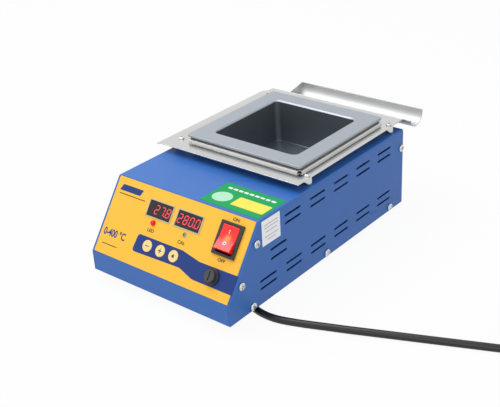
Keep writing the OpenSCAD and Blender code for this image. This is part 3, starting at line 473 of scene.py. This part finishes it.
def lettering(name: str, words: str, height: float, place: Matrix, thickness: float, finish: Finish,
              stretch: float = 1.0, bold: float = 0.12) -> bpy.types.Object:
    """Makes plain lettering as a thin mesh, centred on its place.

    Args:
        name: The piece's name.
        words: What is written.
        height: Height of a capital, millimetres.
        place: Takes local millimetres to the frame's metres.
        thickness: How proud the ink stands, millimetres.
        finish: Its finish.
        stretch: Share by which it is wider than the plain face.
        bold: How far the strokes are thickened, millimetres.

    Returns:
        The new object.
    """
    curve = bpy.data.curves.new(name, "FONT")
    curve.body = words
    curve.size = height / 0.72
    curve.align_x, curve.align_y = "CENTER", "CENTER"
    curve.resolution_u = 4
    curve.extrude = thickness / 2
    curve.offset = bold
    temporary = bpy.data.objects.new(name + "_curve", curve)
    bpy.context.scene.collection.objects.link(temporary)
    bpy.context.view_layer.update()
    mesh = bpy.data.meshes.new_from_object(temporary.evaluated_get(bpy.context.evaluated_depsgraph_get()))
    bpy.data.objects.remove(temporary)
    bpy.data.curves.remove(curve)
    shape = bmesh.new()
    shape.from_mesh(mesh)
    bpy.data.meshes.remove(mesh)
    bmesh.ops.remove_doubles(shape, verts=shape.verts, dist=1e-5)
    across, up = [v.co.x for v in shape.verts], [v.co.y for v in shape.verts]
    mid_x, mid_y = (min(across) + max(across)) / 2, (min(up) + max(up)) / 2
    low = min(v.co.z for v in shape.verts)
    for v in shape.verts:
        v.co.x = (v.co.x - mid_x) * stretch
        v.co.y -= mid_y
        v.co.z -= low
    bmesh.ops.transform(shape, matrix=place, verts=shape.verts)
    return from_bmesh(name, shape, finish)


def on_case(x: float, y: float, z: float) -> Matrix:
    """Takes millimetres at a place on the case to the frame's metres."""
    return Matrix.Scale(MM, 4) @ Matrix.Translation((CASE_X + x, CASE_Y + y, CASE_Z + z))


def on_panel(u: float, v: float, n: float = 0.0) -> Matrix:
    """Takes millimetres across, up and out of the sloping panel to the frame's metres."""
    return (on_case(u - CASE_W / 2, 0, FRONT_H) @ Matrix.Rotation(SLOPE, 4, "X")
            @ Matrix.Translation((0, v, n)))


# ---- Repeats by Geometry Nodes --------------------------------------------


def repeated(name: str, places: Sequence[tuple[Point, Point]], master: bpy.types.Object,
             finish: Finish) -> bpy.types.Object:
    """Sets one master piece at many places with Geometry Nodes.

    Args:
        name: The group's name.
        places: For each copy its point in metres and the direction its local z takes.
        master: The piece to repeat, at the origin, its local z outwards. It is removed.
        finish: The finish of all copies.

    Returns:
        One plain object that holds every copy.
    """
    cloud = bpy.data.meshes.new(name)
    cloud.from_pydata([p for p, _ in places], [], [])
    facing = cloud.attributes.new("facing", "FLOAT_VECTOR", "POINT")
    facing.data.foreach_set("vector", [c for _, way in places for c in way])
    obj = new_object(name, cloud, finish)
    tree = bpy.data.node_groups.new(name + "_set", "GeometryNodeTree")
    tree.interface.new_socket("Geometry", in_out="INPUT", socket_type="NodeSocketGeometry")
    tree.interface.new_socket("Master piece", in_out="INPUT", socket_type="NodeSocketObject")
    turn = tree.interface.new_socket("Turn of the recess", in_out="INPUT", socket_type="NodeSocketFloat")
    turn.default_value = 1.1
    tree.interface.new_socket("Geometry", in_out="OUTPUT", socket_type="NodeSocketGeometry")
    given = add(tree, "NodeGroupInput")
    piece = add(tree, "GeometryNodeObjectInfo", {"Object": given.outputs["Master piece"]})
    way = add(tree, "GeometryNodeInputNamedAttribute", {"Name": "facing"}, data_type="FLOAT_VECTOR")
    aligned = add(tree, "FunctionNodeAlignRotationToVector", {"Vector": way.outputs["Attribute"]}, axis="Z")
    chance = add(tree, "FunctionNodeRandomValue", {"Max": given.outputs["Turn of the recess"], "Seed": 7})
    spun = add(tree, "FunctionNodeRotateRotation", {"Rotation": aligned.outputs["Rotation"]},
               rotation_space="LOCAL")
    angle = add(tree, "FunctionNodeAxisAngleToRotation",
                {"Axis": (0.0, 0.0, 1.0), "Angle": chance.outputs["Value"]})
    tree.links.new(angle.outputs["Rotation"], spun.inputs["Rotate By"])
    copies = add(tree, "GeometryNodeInstanceOnPoints", {
        "Points": given.outputs["Geometry"], "Instance": piece.outputs["Geometry"],
        "Rotation": spun.outputs["Rotation"]})
    solid = add(tree, "GeometryNodeRealizeInstances", {"Geometry": copies.outputs["Instances"]})
    dressed = add(tree, "GeometryNodeSetMaterial",
                  {"Geometry": solid.outputs["Geometry"], "Material": finish.material()})
    add(tree, "NodeGroupOutput", {"Geometry": dressed.outputs["Geometry"]})
    grid = obj.modifiers.new("set", "NODES")
    grid.node_group = tree
    socket = next(s for s in tree.interface.items_tree if s.name == "Master piece")
    grid[socket.identifier] = master
    applied(obj)
    bpy.data.objects.remove(master)
    return obj


@dataclass
class PanScrew:
    """A pan head with a cross recess, its underside at z = 0, and a bit of its shank."""

    head_d: float
    head_h: float
    shank_d: float
    shank_l: float

    def master(self) -> bpy.types.Object:
        """Builds one screw at the origin.

        Returns:
            The screw, its head towards local z.
        """
        r, h = self.head_d / 2, self.head_h
        dome = [(r * math.sin(a), h * 0.42 + h * 0.58 * math.cos(a))
                for a in (math.radians(d) for d in (0, 10, 20, 31, 43, 55, 67, 79, 90))]
        profile = [(0.0, dome[0][1]), *dome[1:], (r * 0.985, h * 0.2), (r * 0.93, 0.02), (r * 0.9, 0.0),
                   (self.shank_d / 2, 0.0), (self.shank_d / 2, -self.shank_l), (0.0, -self.shank_l)]
        screw = from_bmesh("pan_screw", lathe(profile, 28, Matrix.Scale(MM, 4)), NICKEL, 40)
        cross = bmesh.new()
        arm, blade = self.head_d * 0.26, self.head_d * 0.075
        place = Matrix.Scale(MM, 4)
        for turned in (0.0, math.pi / 2):
            slab(cross, box_outline(2 * arm, 2 * blade), h * 0.38, h + 1,
                 place @ Matrix.Rotation(turned, 4, "Z"))
        cutter = from_bmesh("cross_recess", cross, NICKEL)
        cut = screw.modifiers.new("recess", "BOOLEAN")
        cut.object, cut.operation, cut.solver, cut.use_self = cutter, "DIFFERENCE", "EXACT", True
        applied(screw)
        bpy.data.objects.remove(cutter)
        screw.data.shade_smooth()
        screw.data.set_sharp_from_angle(angle=math.radians(38))
        return screw


# ---- Sub-assemblies -------------------------------------------------------


@dataclass
class StudioCamera:
    """The camera, its white background and its soft light."""

    place: Point = (0.54513, -0.65036, 0.47969)
    azimuth: float = 40.76
    elevation: float = 27.54
    roll: float = -3.35
    lens: float = 68.83
    world_light: float = 0.62
    floor_colour: str = "#DCDCDC"
    floor_white: float = 0.94       # share of the floor that is plain white where it is seen
    floor_half: float = 6.0

    def build(self) -> None:
        """Sets the camera, the floor, the world and the lamps."""
        scene = bpy.context.scene
        scene.view_settings.view_transform = "Standard"
        az, el = math.radians(self.azimuth), math.radians(self.elevation)
        forward = Vector((-math.sin(az) * math.cos(el), math.cos(az) * math.cos(el), -math.sin(el)))
        data = bpy.data.cameras.new("camera")
        data.lens, data.sensor_width = self.lens, 36.0
        data.clip_start, data.clip_end = 0.02, 50.0
        camera = bpy.data.objects.new("camera", data)
        scene.collection.objects.link(camera)
        camera.rotation_mode = "QUATERNION"
        camera.location = self.place
        camera.rotation_quaternion = (forward.to_track_quat("-Z", "Y")
                                      @ Quaternion((0, 0, 1), math.radians(self.roll)))
        scene.camera = camera
        self._world()
        self._floor()
        self._lamp("key_softbox", (-0.55, -0.15, 1.35), 1.1, 14.0)
        self._lamp("fill_softbox", (0.9, -1.1, 0.8), 1.2, 5.0)

    @staticmethod
    def _seen_rays(tree: bpy.types.NodeTree) -> bpy.types.NodeSocket:
        """Adds a value of 1 for what is seen straight, mirrored or through glass, and 0 for the rest."""
        path = add(tree, "ShaderNodeLightPath").outputs
        straight = add(tree, "ShaderNodeMath", {0: path["Is Camera Ray"], 1: path["Is Glossy Ray"]},
                       operation="MAXIMUM")
        return add(tree, "ShaderNodeMath", {0: straight.outputs[0], 1: path["Is Transmission Ray"]},
                   operation="MAXIMUM").outputs[0]

    def _world(self) -> None:
        """Gives an even white room: white where it is seen, softer where it lights."""
        world = bpy.data.worlds.new("white_room")
        bpy.context.scene.world = world
        world.use_nodes = True
        tree = world.node_tree
        tree.nodes.clear()
        seen = self._seen_rays(tree)
        strength = add(tree, "ShaderNodeMapRange",
                       {"Value": seen, "To Min": self.world_light, "To Max": 1.0})
        back = add(tree, "ShaderNodeBackground",
                   {"Color": (1, 1, 1, 1), "Strength": strength.outputs["Result"]})
        add(tree, "ShaderNodeOutputWorld", {"Surface": back.outputs["Background"]})

    def _floor(self) -> None:
        """Lays the pale floor, white to the camera but for the object's soft shadow."""
        mesh = bpy.data.meshes.new("floor")
        half = self.floor_half
        mesh.from_pydata([(-half, -half, 0), (half, -half, 0), (half, half, 0), (-half, half, 0)], [],
                         [(0, 1, 2, 3)])
        floor = bpy.data.objects.new("floor", mesh)
        bpy.context.scene.collection.objects.link(floor)
        mat = bpy.data.materials.new("pale_floor")
        mat.use_nodes = True
        tree = mat.node_tree
        tree.nodes.clear()
        seen = self._seen_rays(tree)
        share = add(tree, "ShaderNodeMath", {0: seen, 1: self.floor_white}, operation="MULTIPLY")
        matt = add(tree, "ShaderNodeBsdfDiffuse", {"Color": linear(self.floor_colour)})
        white = add(tree, "ShaderNodeEmission", {"Color": (1, 1, 1, 1), "Strength": 1.0})
        mixed = add(tree, "ShaderNodeMixShader",
                    {0: share.outputs[0], 1: matt.outputs[0], 2: white.outputs[0]})
        add(tree, "ShaderNodeOutputMaterial", {"Surface": mixed.outputs[0]})
        mesh.materials.append(mat)

    def _lamp(self, name: str, place: Point, size: float, power: float) -> None:
        """Hangs a square softbox that looks at the object."""
        data = bpy.data.lights.new(name, "AREA")
        data.shape, data.size, data.energy = "SQUARE", size, power
        lamp = bpy.data.objects.new(name, data)
        bpy.context.scene.collection.objects.link(lamp)
        lamp.location = place
        lamp.rotation_mode = "QUATERNION"
        lamp.rotation_quaternion = (Vector((0, 0, 0.05)) - Vector(place)).to_track_quat("-Z", "Y")


@dataclass
class MainsCord:
    """The cord from its strain relief along the bench to its coil, lead and plug."""

    diameter: float = 7.0
    coil_radius: float = 36.0
    coil_pitch: float = 7.4
    coil_turns: float = 3.25
    tail: float = 45.0
    lead_tail: float = 24.0
    plug_mid: float = 12.5
    gland_x: float = 0.0
    gland_y: float = 125.5
    gland_z: float = 35.0
    gland_l: float = 24.5
    route: list[Point] = field(default_factory=lambda: [
        (0, 150, 35), (0, 164, 35), (-2, 180, 29), (-6, 194, 19), (-13, 206, 10), (-24, 215, 4.5),
        (-38, 217, 3.5), (-51, 211, 3.5), (-60, 199, 3.5), (-63, 184, 3.5), (-62, 167, 3.5),
        (-57, 147, 3.5), (-49, 125, 3.5), (-39, 102, 3.5), (-29, 79, 3.5), (-19, 54, 3.5),
        (-8, 27, 3.5), (3, 0, 3.5), (14, -26, 3.5), (26, -51, 3.5), (39, -74, 3.5), (53, -93, 3.5),
        (66, -105, 3.5), (79, -112, 3.5), (93, -115, 3.5), (108, -114, 3.5), (127, -108, 3.5),
        (147, -100, 3.5), (167, -92, 3.5), (187, -83.5, 3.5), (207, -75, 3.5), (227, -66.5, 3.5),
        (247, -58, 3.5), (267, -49.5, 3.5), (287, -41, 3.5)])
    lead: list[tuple[float, float]] = field(default_factory=lambda: [
        (0, 0), (14, 0), (28, 0.25), (42, 0.65), (56, 0.92), (70, 1), (84, 1)])

    @staticmethod
    def _eased(points: list[Vector], steps: int) -> list[Vector]:
        """Threads a smooth line through the points."""
        ends = [points[0] * 2 - points[1], *points, points[-1] * 2 - points[-2]]
        out = []
        for a, b, c, d in zip(ends, ends[1:], ends[2:], ends[3:]):
            for k in range(steps):
                t = k / steps
                out.append(0.5 * ((2 * b) + (c - a) * t + (2 * a - 5 * b + 4 * c - d) * t ** 2
                                  + (3 * b - a - 3 * c + d) * t ** 3))
        return [*out, points[-1]]

    def path(self) -> list[Vector]:
        """Follows the cord from the strain relief to the plug.

        Returns:
            The centre line in metres.
        """
        free = [Vector(p) for p in self.route]
        way = (free[-1] - free[-2]).normalized()
        left = Vector((-way.y, way.x, 0))
        enter = free[-1] + self.tail * way
        centre = enter + self.coil_radius * left
        start = math.atan2(-left.y, -left.x)
        line = self._eased(free, 4)
        line += [free[-1] + way * self.tail * k / 4 for k in range(1, 4)]
        steps = int(self.coil_turns * 40)
        for k in range(steps + 1):
            angle = start + math.tau * self.coil_turns * k / steps
            rise = self.coil_pitch * self.coil_turns * k / steps
            line.append(Vector((centre.x + self.coil_radius * math.cos(angle),
                                centre.y + self.coil_radius * math.sin(angle), enter.z + rise)))
        out = Vector((-math.sin(angle), math.cos(angle), 0))
        top = line[-1].copy()
        line += [top + out * self.lead_tail / 2]
        start_lead = top + out * self.lead_tail
        drop = self.plug_mid - top.z
        line += self._eased([start_lead + out * run + Vector((0, 0, share * drop))
                             for run, share in self.lead], 4)
        self.coil_centre, self.coil_start, self.coil_rise = centre, start, rise
        return [p * MM for p in line]

    def build(self) -> None:
        """Makes the cord, its tie and its ribbed strain relief."""
        points = self.path()
        curve = bpy.data.curves.new("mains_cord", "CURVE")
        curve.dimensions = "3D"
        curve.bevel_depth = self.diameter / 2 * MM
        curve.bevel_resolution = 3
        curve.use_fill_caps = True
        line = curve.splines.new("POLY")
        line.points.add(len(points) - 1)
        for knot, p in zip(line.points, points):
            knot.co = (*p, 1.0)
        line.use_smooth = True
        cord = bpy.data.objects.new("mains_cord", curve)
        bpy.context.scene.collection.objects.link(cord)
        curve.materials.append(PVC.material())
        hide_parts("power_cord", "cord_coil", "plug_lead")
        ride(cord, "case")
        tie = self._tie()
        self._strain_relief()

    def _tie(self) -> bpy.types.Object:
        """Straps the turns together with a thin band."""
        shape = bmesh.new()
        angle = self.coil_start + math.radians(100)
        mid = self.coil_rise / 2 + self.diameter / 2
        place = (Matrix.Scale(MM, 4) @ Matrix.Translation((self.coil_centre.x, self.coil_centre.y, mid))
                 @ Matrix.Rotation(angle, 4, "Z") @ Matrix.Translation((self.coil_radius, 5, 0))
                 @ Matrix.Rotation(math.pi / 2, 4, "X"))
        half_w, half_h, wall, width = self.diameter / 2 + 0.1, mid - 0.05, 0.8, 10.0
        inner = rounded(box_outline(2 * half_w, 2 * half_h), 3.0)
        outer = rounded(box_outline(2 * (half_w + wall), 2 * half_h), 3.4)
        rings = [[shape.verts.new(place @ Vector((x, y, z))) for x, y in outline]
                 for outline, z in ((outer, 0.0), (outer, width), (inner, width), (inner, 0.0))]
        for ring, after in zip(rings, rings[1:] + rings[:1]):
            for i in range(len(ring)):
                k = (i + 1) % len(ring)
                shape.faces.new((ring[i], ring[k], after[k], after[i]))
        tie = from_bmesh("cord_tie", shape, BLACK_ABS, 40)
        return ride(tie, "case")

    def _strain_relief(self) -> None:
        """Shapes the strain relief with its ribs, over the CAD cone."""
        r0, r1, ribs = 6.0, self.diameter / 2 + 0.8, 7
        profile = [(0.0, -6.2), (6.0, -6.2), (6.0, 0.0), (8.3, 0.0), (8.5, 0.3), (8.5, 2.6), (8.1, 3.0),
                   (r0, 3.0)]
        pitch = (self.gland_l - 3.0) / ribs
        for k in range(ribs):
            y = 3.0 + k * pitch
            here, after = r0 + (r1 - r0) * k / ribs, r0 + (r1 - r0) * (k + 1) / ribs
            profile += [(here, y + 0.25), (here, y + pitch * 0.55), (here - 0.7, y + pitch * 0.65),
                        (after - 0.7, y + pitch * 0.92)]
        profile += [(r1, self.gland_l), (0.0, self.gland_l)]
        place = (Matrix.Scale(MM, 4) @ Matrix.Translation((self.gland_x, self.gland_y, self.gland_z))
                 @ Matrix.Rotation(-math.pi / 2, 4, "X"))
        relief = from_bmesh("strain_relief", lathe(profile, 40, place), RUBBER, 32)
        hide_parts("cord_gland")
        ride(relief, "case")


@dataclass
class SheetCase:
    """The blue cover and chassis with their screws, and the stickers on the cover."""

    edge: float = 0.35
    head_d: float = 7.6
    head_h: float = 2.3
    shank_d: float = 3.9
    shank_l: float = 8.0
    film: float = 0.2
    slope_inset: float = 7.2        # of the slope's screws, square to the panel
    slope_first: float = 20.1
    slope_last: float = 19.0
    floor_first: float = 31.4
    floor_last: float = 24.2
    floor_up: float = 4.3
    back_up: float = 63.2

    def _screw_places(self) -> list[tuple[Point, Point]]:
        """Lists where the twelve case screws stand and which way they face."""
        ahead, up = math.cos(SLOPE), math.sin(SLOPE)
        spots = [(v * ahead + self.slope_inset * up, FRONT_H + v * up - self.slope_inset * ahead)
                 for v in (self.slope_first, SLOPE_LEN - self.slope_last)]
        span = CASE_D - self.floor_first - self.floor_last
        spots += [(self.floor_first + share * span, self.floor_up) for share in (0, 0.5, 1)]
        spots += [(CASE_D - self.floor_up, self.back_up)]
        return [(tuple(on_case(side * CASE_W / 2, y, z).translation), (float(side), 0.0, 0.0))
                for y, z in spots for side in (-1, 1)]

    def build(self) -> None:
        """Dresses the case, sets its screws and lays on the stickers."""
        edge_rounded("cover", BLUE_POWDER, self.edge, flat=True)
        edge_rounded("chassis", BLUE_POWDER, self.edge, flat=True)
        head = PanScrew(self.head_d, self.head_h, self.shank_d, self.shank_l)
        screws = repeated("case_screws", self._screw_places(), head.master(), NICKEL)
        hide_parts("cover_screws")
        ride(screws, "case")
        self._green_sticker()
        self._white_sticker()

    def _green_sticker(self) -> None:
        """Prints the plain fields on the green sticker."""
        place = on_case(0, 0, CASE_H + self.film)
        dress("green_label", GREEN_VINYL)
        printed("sticker_bars", [box_outline(4.6, 2.6, 24 + k * 6.2, 80.6) for k in range(9)], place,
                WHITE_INK, "case")
        oval = [(28.6 + 10.2 * math.cos(a), 63.6 + 8.8 * math.sin(a))
                for a in (math.tau * k / 48 for k in range(48))]
        printed("sticker_disc", [oval], place, PALE_VINYL, "case")
        printed("sticker_field", [rounded(box_outline(36, 15.5, 61.5, 63.8), 1.2)], place, YELLOW_VINYL,
                "case")

    def _white_sticker(self) -> None:
        """Rules the faint lines on the white sticker."""
        dress("white_label", WHITE_PAPER)
        place = (on_case(CASE_W / 2 + self.film, 48.4, 56.0) @ Matrix.Rotation(math.pi / 2, 4, "Z")
                 @ Matrix.Rotation(math.pi / 2, 4, "X"))
        lines = [box_outline(length, 0.7, 13, y)
                 for y, length in ((19.2, 19), (16.2, 19), (12.4, 15), (7.6, 19), (4.4, 12))]
        printed("sticker_lines", lines, place, GREY_INK, "case")


@dataclass
class ControlPanel:
    """The printed overlay with its displays, lamp, buttons, switch and fuse holder."""

    top: float = 0.3
    ink: float = 0.03
    display_u: tuple[float, float] = (63.0, 98.6)
    display_v: float = 57.0
    window_n: float = 0.7
    digit_h: float = 9.0
    digit_w: float = 5.0
    digit_pitch: float = 6.9
    stroke: float = 1.0
    lean: float = 0.14
    segment_gap: float = 0.16
    button_u: tuple[float, float, float] = (62.6, 78.85, 95.1)
    button_v: float = 23.1
    button_top: float = 1.0
    sign_reach: float = 4.4
    star_reach: float = 3.6
    sign_w: float = 0.85
    readings: tuple[str, str] = (" 27.8", "280.0")

    word_h: float = 3.0
    range_h: float = 7.0

    WORDS = {"LED": (60.2, 37.4), "CAL": (98.4, 37.0), "ON": (147.2, 72.3), "OFF": (146.4, 34.9)}
    SEGMENTS = {"0": "abcdef", "1": "bc", "2": "abged", "3": "abgcd", "4": "fgbc", "5": "afgcd",
                "6": "afgedc", "7": "abc", "8": "abcdefg", "9": "abcdfg", " ": ""}

    def build(self) -> None:
        """Dresses the panel and prints on it."""
        dress("front_label", ORANGE_FILM)
        self._band()
        for words, (u, v) in self.WORDS.items():
            mark = lettering("word_" + words.lower(), words, self.word_h, on_panel(u, v, self.top + LIFT),
                             self.ink, BROWN_INK, 1.15)
            ride(mark, "case")
        self._plain_marks()
        for node in ("left_display", "right_display"):
            edge_rounded(node, GREY_BEZEL, 0.25)
        dress("display_windows", RED_FILTER)
        for place, reading in zip(self.display_u, self.readings):
            self._digits(place, reading)
        dress("status_led", RED_LENS)
        self._buttons()
        Rocker().build()
        edge_rounded("switch_housing", BLACK_ABS, 0.5, 3)
        edge_rounded("fuse_holder", BLACK_ABS, 0.3)
        edge_rounded("fuse_cap", GREY_CAP, 0.3)

    def _band(self) -> None:
        """Prints the navy band that the buttons and the fuse holder stand in."""
        corners = [(46.5, 14.0), (105.6, 15.6), (122.9, 10.2), (168.6, 10.1), (168.6, 27.4), (125.0, 27.0),
                   (103.0, 31.0), (48.0, 31.0)]
        printed("navy_band", [rounded(corners, (3, 8, 12, 0, 0, 12, 8, 3))], on_panel(0, 0, self.top),
                NAVY_INK, "case", high=LIFT + self.ink)

    def _plain_marks(self) -> None:
        """Prints a plain range of degrees and two plain bars on the left of the panel."""
        marks = lettering("range_marks", "0-400 °C", self.range_h, on_panel(20.0, 22.6, self.top + LIFT),
                          self.ink, NAVY_INK, 0.78, bold=0.28)
        ride(marks, "case")
        fields = {"plain_bar": [[(7.5, 63.5), (34.0, 63.5), (36.5, 69.5), (10.0, 69.5)]],
                  "thin_rules": [[(8.5, 60.2), (42.0, 60.2), (42.0, 61.0), (8.5, 61.0)],
                                 [(8.5, 10.6), (28.0, 10.6), (28.0, 11.4), (8.5, 11.4)]]}
        for (name, outlines), ink in zip(fields.items(), (NAVY_INK, BROWN_INK)):
            printed(name, outlines, on_panel(0, 0, self.top), ink, "case",
                    high=LIFT + self.ink)

    def _segment(self, name: str) -> Outline:
        """Gives one segment's hexagon round the digit's middle."""
        h, w, s = self.digit_h / 2, self.digit_w / 2, self.stroke / 2
        gap = self.segment_gap
        if name in "adg":
            y = {"a": h - s, "g": 0.0, "d": s - h}[name]
            x = w - s - gap
            flat = [(-x, y), (-x + s, y - s), (x - s, y - s), (x, y), (x - s, y + s), (-x + s, y + s)]
        else:
            x = (w - s) * (1 if name in "bc" else -1)
            low, high = (gap, h - s - gap) if name in "bf" else (-h + s + gap, -gap)
            flat = [(x, low), (x + s, low + s), (x + s, high - s), (x, high), (x - s, high - s),
                    (x - s, low + s)]
        return [(px + self.lean * py, py) for px, py in flat]

    def _digits(self, u: float, reading: str) -> None:
        """Lights a reading on one display, with the dark segments behind it."""
        groups = {"lit": bmesh.new(), "dark": bmesh.new()}
        cell = -1
        for sign in reading:
            if sign == ".":
                spot = on_panel(u + (cell - 1.5) * self.digit_pitch + self.digit_w / 2 + 0.75,
                                self.display_v - self.digit_h / 2 + 0.7, self.window_n)
                slab(groups["lit"], disc_outline(1.3, steps=16), 0.02, 0.05, spot)
                continue
            cell += 1
            spot = on_panel(u + (cell - 1.5) * self.digit_pitch, self.display_v, self.window_n)
            for name in "abcdefg":
                lit = name in self.SEGMENTS[sign]
                slab(groups["lit" if lit else "dark"], self._segment(name), 0.02, 0.05, spot)
        tag = "left" if u < 80 else "right"
        ride(from_bmesh(tag + "_lit_segments", groups["lit"], LIT_SEGMENT), "case")
        ride(from_bmesh(tag + "_dark_segments", groups["dark"], DARK_SEGMENT), "case")

    def _buttons(self) -> None:
        """Dresses the three buttons and prints a sign on each."""
        arms = {"minus_button": (0,), "plus_button": (0, 90), "set_button": (30, 90, 150)}
        for (node, angles), u in zip(arms.items(), self.button_u):
            dress(node, CREAM_ABS)
            sign = bmesh.new()
            for angle in angles:
                reach = self.star_reach if node == "set_button" else self.sign_reach
                turned = Matrix.Rotation(math.radians(angle), 4, "Z")
                slab(sign, box_outline(reach, self.sign_w), LIFT, LIFT + self.ink,
                     on_panel(u, self.button_v, self.button_top) @ turned)
            ride(from_bmesh(node.replace("button", "sign"), sign, NAVY_INK), node)


@dataclass
class Rocker:
    """The lit red rocker with its two marks."""

    u: float = 146.4
    v: float = 53.7
    pivot_n: float = -2.0
    tilt: float = 10.0
    half: float = 11.5
    mid_h: float = 5.0
    end_h: float = 6.8
    lamp: Point = (0.6, 0.8, 3.4)   # of the glow's middle, from the rocker's
    lamp_reach: float = 9.0

    def _on_face(self, v: float, lift: float) -> Matrix:
        """Gives a place on the rocker's face, v from its middle."""
        fold = math.atan2(self.end_h - self.mid_h, self.half) * (1 if v > 0 else -1)
        height = self.mid_h + (self.end_h - self.mid_h) * abs(v) / self.half + lift
        return (on_panel(self.u, self.v, self.pivot_n) @ Matrix.Rotation(math.radians(-self.tilt), 4, "X")
                @ Matrix.Translation((0, v, height)) @ Matrix.Rotation(fold, 4, "X"))

    def build(self) -> None:
        """Dresses the rocker and prints its marks."""
        body = edge_rounded("mains_rocker", RED_LENS, 0.45, 3)
        body.data.materials[0] = self._lit_red()
        printed("mark_on", [box_outline(0.6, 3.4)], self._on_face(6.0, 0.0), WHITE_INK, "mains_rocker",
                0.02, 0.05)
        ring = lettering("mark_off", "O", 3.2, self._on_face(-5.0, 0.02), 0.03, WHITE_INK, 1.0)
        ride(ring, "mains_rocker")

    def _lit_red(self) -> bpy.types.Material:
        """Makes clear red polycarbonate with the lamp's glow inside it."""
        mat = bpy.data.materials.new("lit_red_polycarbonate")
        mat.use_nodes = True
        tree = mat.node_tree
        tree.nodes.clear()
        centre = on_panel(self.u + self.lamp[0], self.v + self.lamp[1], self.lamp[2]).translation
        place = add(tree, "ShaderNodeTexCoord").outputs["Object"]
        away = add(tree, "ShaderNodeVectorMath", {0: place, 1: tuple(centre)}, operation="DISTANCE")
        glow = add(tree, "ShaderNodeMapRange",
                   {"Value": away.outputs["Value"], "From Min": 0.0, "From Max": self.lamp_reach * MM,
                    "To Min": 1.0, "To Max": 0.0}, interpolation_type="SMOOTHERSTEP")
        sharp = add(tree, "ShaderNodeMath", {0: glow.outputs["Result"], 1: 2.2}, operation="POWER")
        colour = add(tree, "ShaderNodeMix", {"Factor": sharp.outputs[0], "A": linear("#E4160F"),
                                             "B": linear("#FFA04A")}, data_type="RGBA")
        strength = add(tree, "ShaderNodeMapRange",
                       {"Value": sharp.outputs[0], "To Min": 0.35, "To Max": 0.9})
        grain = add(tree, "ShaderNodeTexNoise", {"Vector": place, "Scale": 1 / (3 * MM)}).outputs["Fac"]
        rough = add(tree, "ShaderNodeMapRange", {"Value": grain, "To Min": 0.14, "To Max": 0.2})
        shader = add(tree, "ShaderNodeBsdfPrincipled", {
            "Base Color": linear("#D8160F"), "Roughness": rough.outputs["Result"], "IOR": 1.58,
            "Emission Color": colour.outputs["Result"], "Emission Strength": strength.outputs["Result"]})
        add(tree, "ShaderNodeOutputMaterial", {"Surface": shader.outputs["BSDF"]})
        return mat


@dataclass
class BathAndTray:
    """The coated bath in its heater box, with the drip tray and the tray's screws."""

    screw_dx: float = 155.0
    screw_dy: float = 138.0
    mouth_w: float = 100.9
    behind: float = 4.2

    @staticmethod
    def _refinish(obj: bpy.types.Object, finish: Finish, where: Callable[[Vector], bool]) -> None:
        """Gives the faces at some places of a piece a second finish.

        Args:
            obj: The piece.
            finish: The second finish.
            where: Tells from a face's middle whether it takes that finish.
        """
        obj.data.materials.append(finish.material())
        for face in obj.data.polygons:
            if where(face.center):
                face.material_index = 1

    def build(self) -> None:
        """Dresses the bath, the heater box and the tray."""
        bath = edge_rounded("solder_bath", BATH_COATING, 0.5, 3, flat=True)
        mouth = self.mouth_w / 2 * MM
        centre = on_case(0, BATH_Y, 0).translation
        below = max(v.co.z for v in bath.data.vertices) - MM
        # The faces inside the mouth take the darker coating: painted shade in the cavity
        self._refinish(bath, BATH_CAVITY_SHADE, lambda c: c.z < below
                       and max(abs(c.x - centre.x), abs(c.y - centre.y)) < mouth)
        edge_rounded("heater_box", POLISHED_STAINLESS, 0.15, flat=True)
        tray = edge_rounded("drip_tray", TRAY_STAINLESS, 0.15)
        # The gutter behind the tray takes the rougher sheet. Its rougher finish is real and its darker tone
        # is painted shade
        back = on_case(0, CASE_D + self.behind, 0).translation.y
        self._refinish(tray, GUTTER_STAINLESS_SHADED, lambda c: c.y > back)
        # The near-black gasket is painted shade in the gap under the flange
        edge_rounded("rim_gasket", GASKET_SHADE_FIBRE, 0.3)
        spots = [(x * self.screw_dx / 2, BATH_Y + y * self.screw_dy / 2) for x in (-1, 1) for y in (-1, 1)]
        places = [(tuple(on_case(x, y, TRAY_TOP).translation), (0.0, 0.0, 1.0)) for x, y in spots]
        screws = repeated("tray_screws_set", places, PanScrew(6.0, 2.0, 3.0, 14.5).master(), NICKEL)
        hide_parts("tray_screws")
        ride(screws, "case")


def dress(node: str, finish: Finish) -> None:
    """Gives a CAD node its finish as it stands.

    Args:
        node: The CAD node.
        finish: Its finish.
    """
    obj = frame["nodes"][node]
    obj.data.materials.clear()
    obj.data.materials.append(finish.material())
    log.info("%s: %s", node, finish.name)


# The finish of every node that keeps its CAD shape
HIDDEN_WORKS: dict[str, Finish] = {
    "cal_trimmer": FIBREGLASS, "cal_screw": ZINC, "button_switches": BLACK_ABS, "control_board": FIBREGLASS,
    "board_pillars": ZINC, "switch_terminals": BRASS, "fuse_nut": BLACK_ABS, "fuse_carrier": BRASS,
    "fuse_link": GLASS, "heater_block": CAST_ALUMINIUM, "heating_rods": SATIN_STAINLESS,
    "temperature_probe": SATIN_STAINLESS, "insulation": CERAMIC_FIBRE, "box_pillars": ZINC,
    "tray_nuts": ZINC,
    "power_board": FIBREGLASS, "power_pillars": ZINC, "transformer": LAMINATIONS,
    "heat_sink": EXTRUDED_ALUMINIUM, "triac": BLACK_ABS, "terminal_block": BLACK_ABS,
    "heater_terminals": STEATITE, "earth_stud": BRASS, "rubber_feet": RUBBER, "foot_screws": ZINC,
    "foot_nuts": ZINC, "gland_nut": BLACK_ABS, "mains_plug": PVC, "plug_pins": BRASS,
}


def main() -> None:
    """Builds the scene: camera and cord first, then each sub-assembly."""
    logging.basicConfig(level=logging.INFO, format="%(message)s")
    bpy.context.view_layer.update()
    StudioCamera().build()
    MainsCord().build()
    SheetCase().build()
    ControlPanel().build()
    BathAndTray().build()
    for node, finish in HIDDEN_WORKS.items():
        dress(node, finish)


if __name__ == "__main__":
    main()
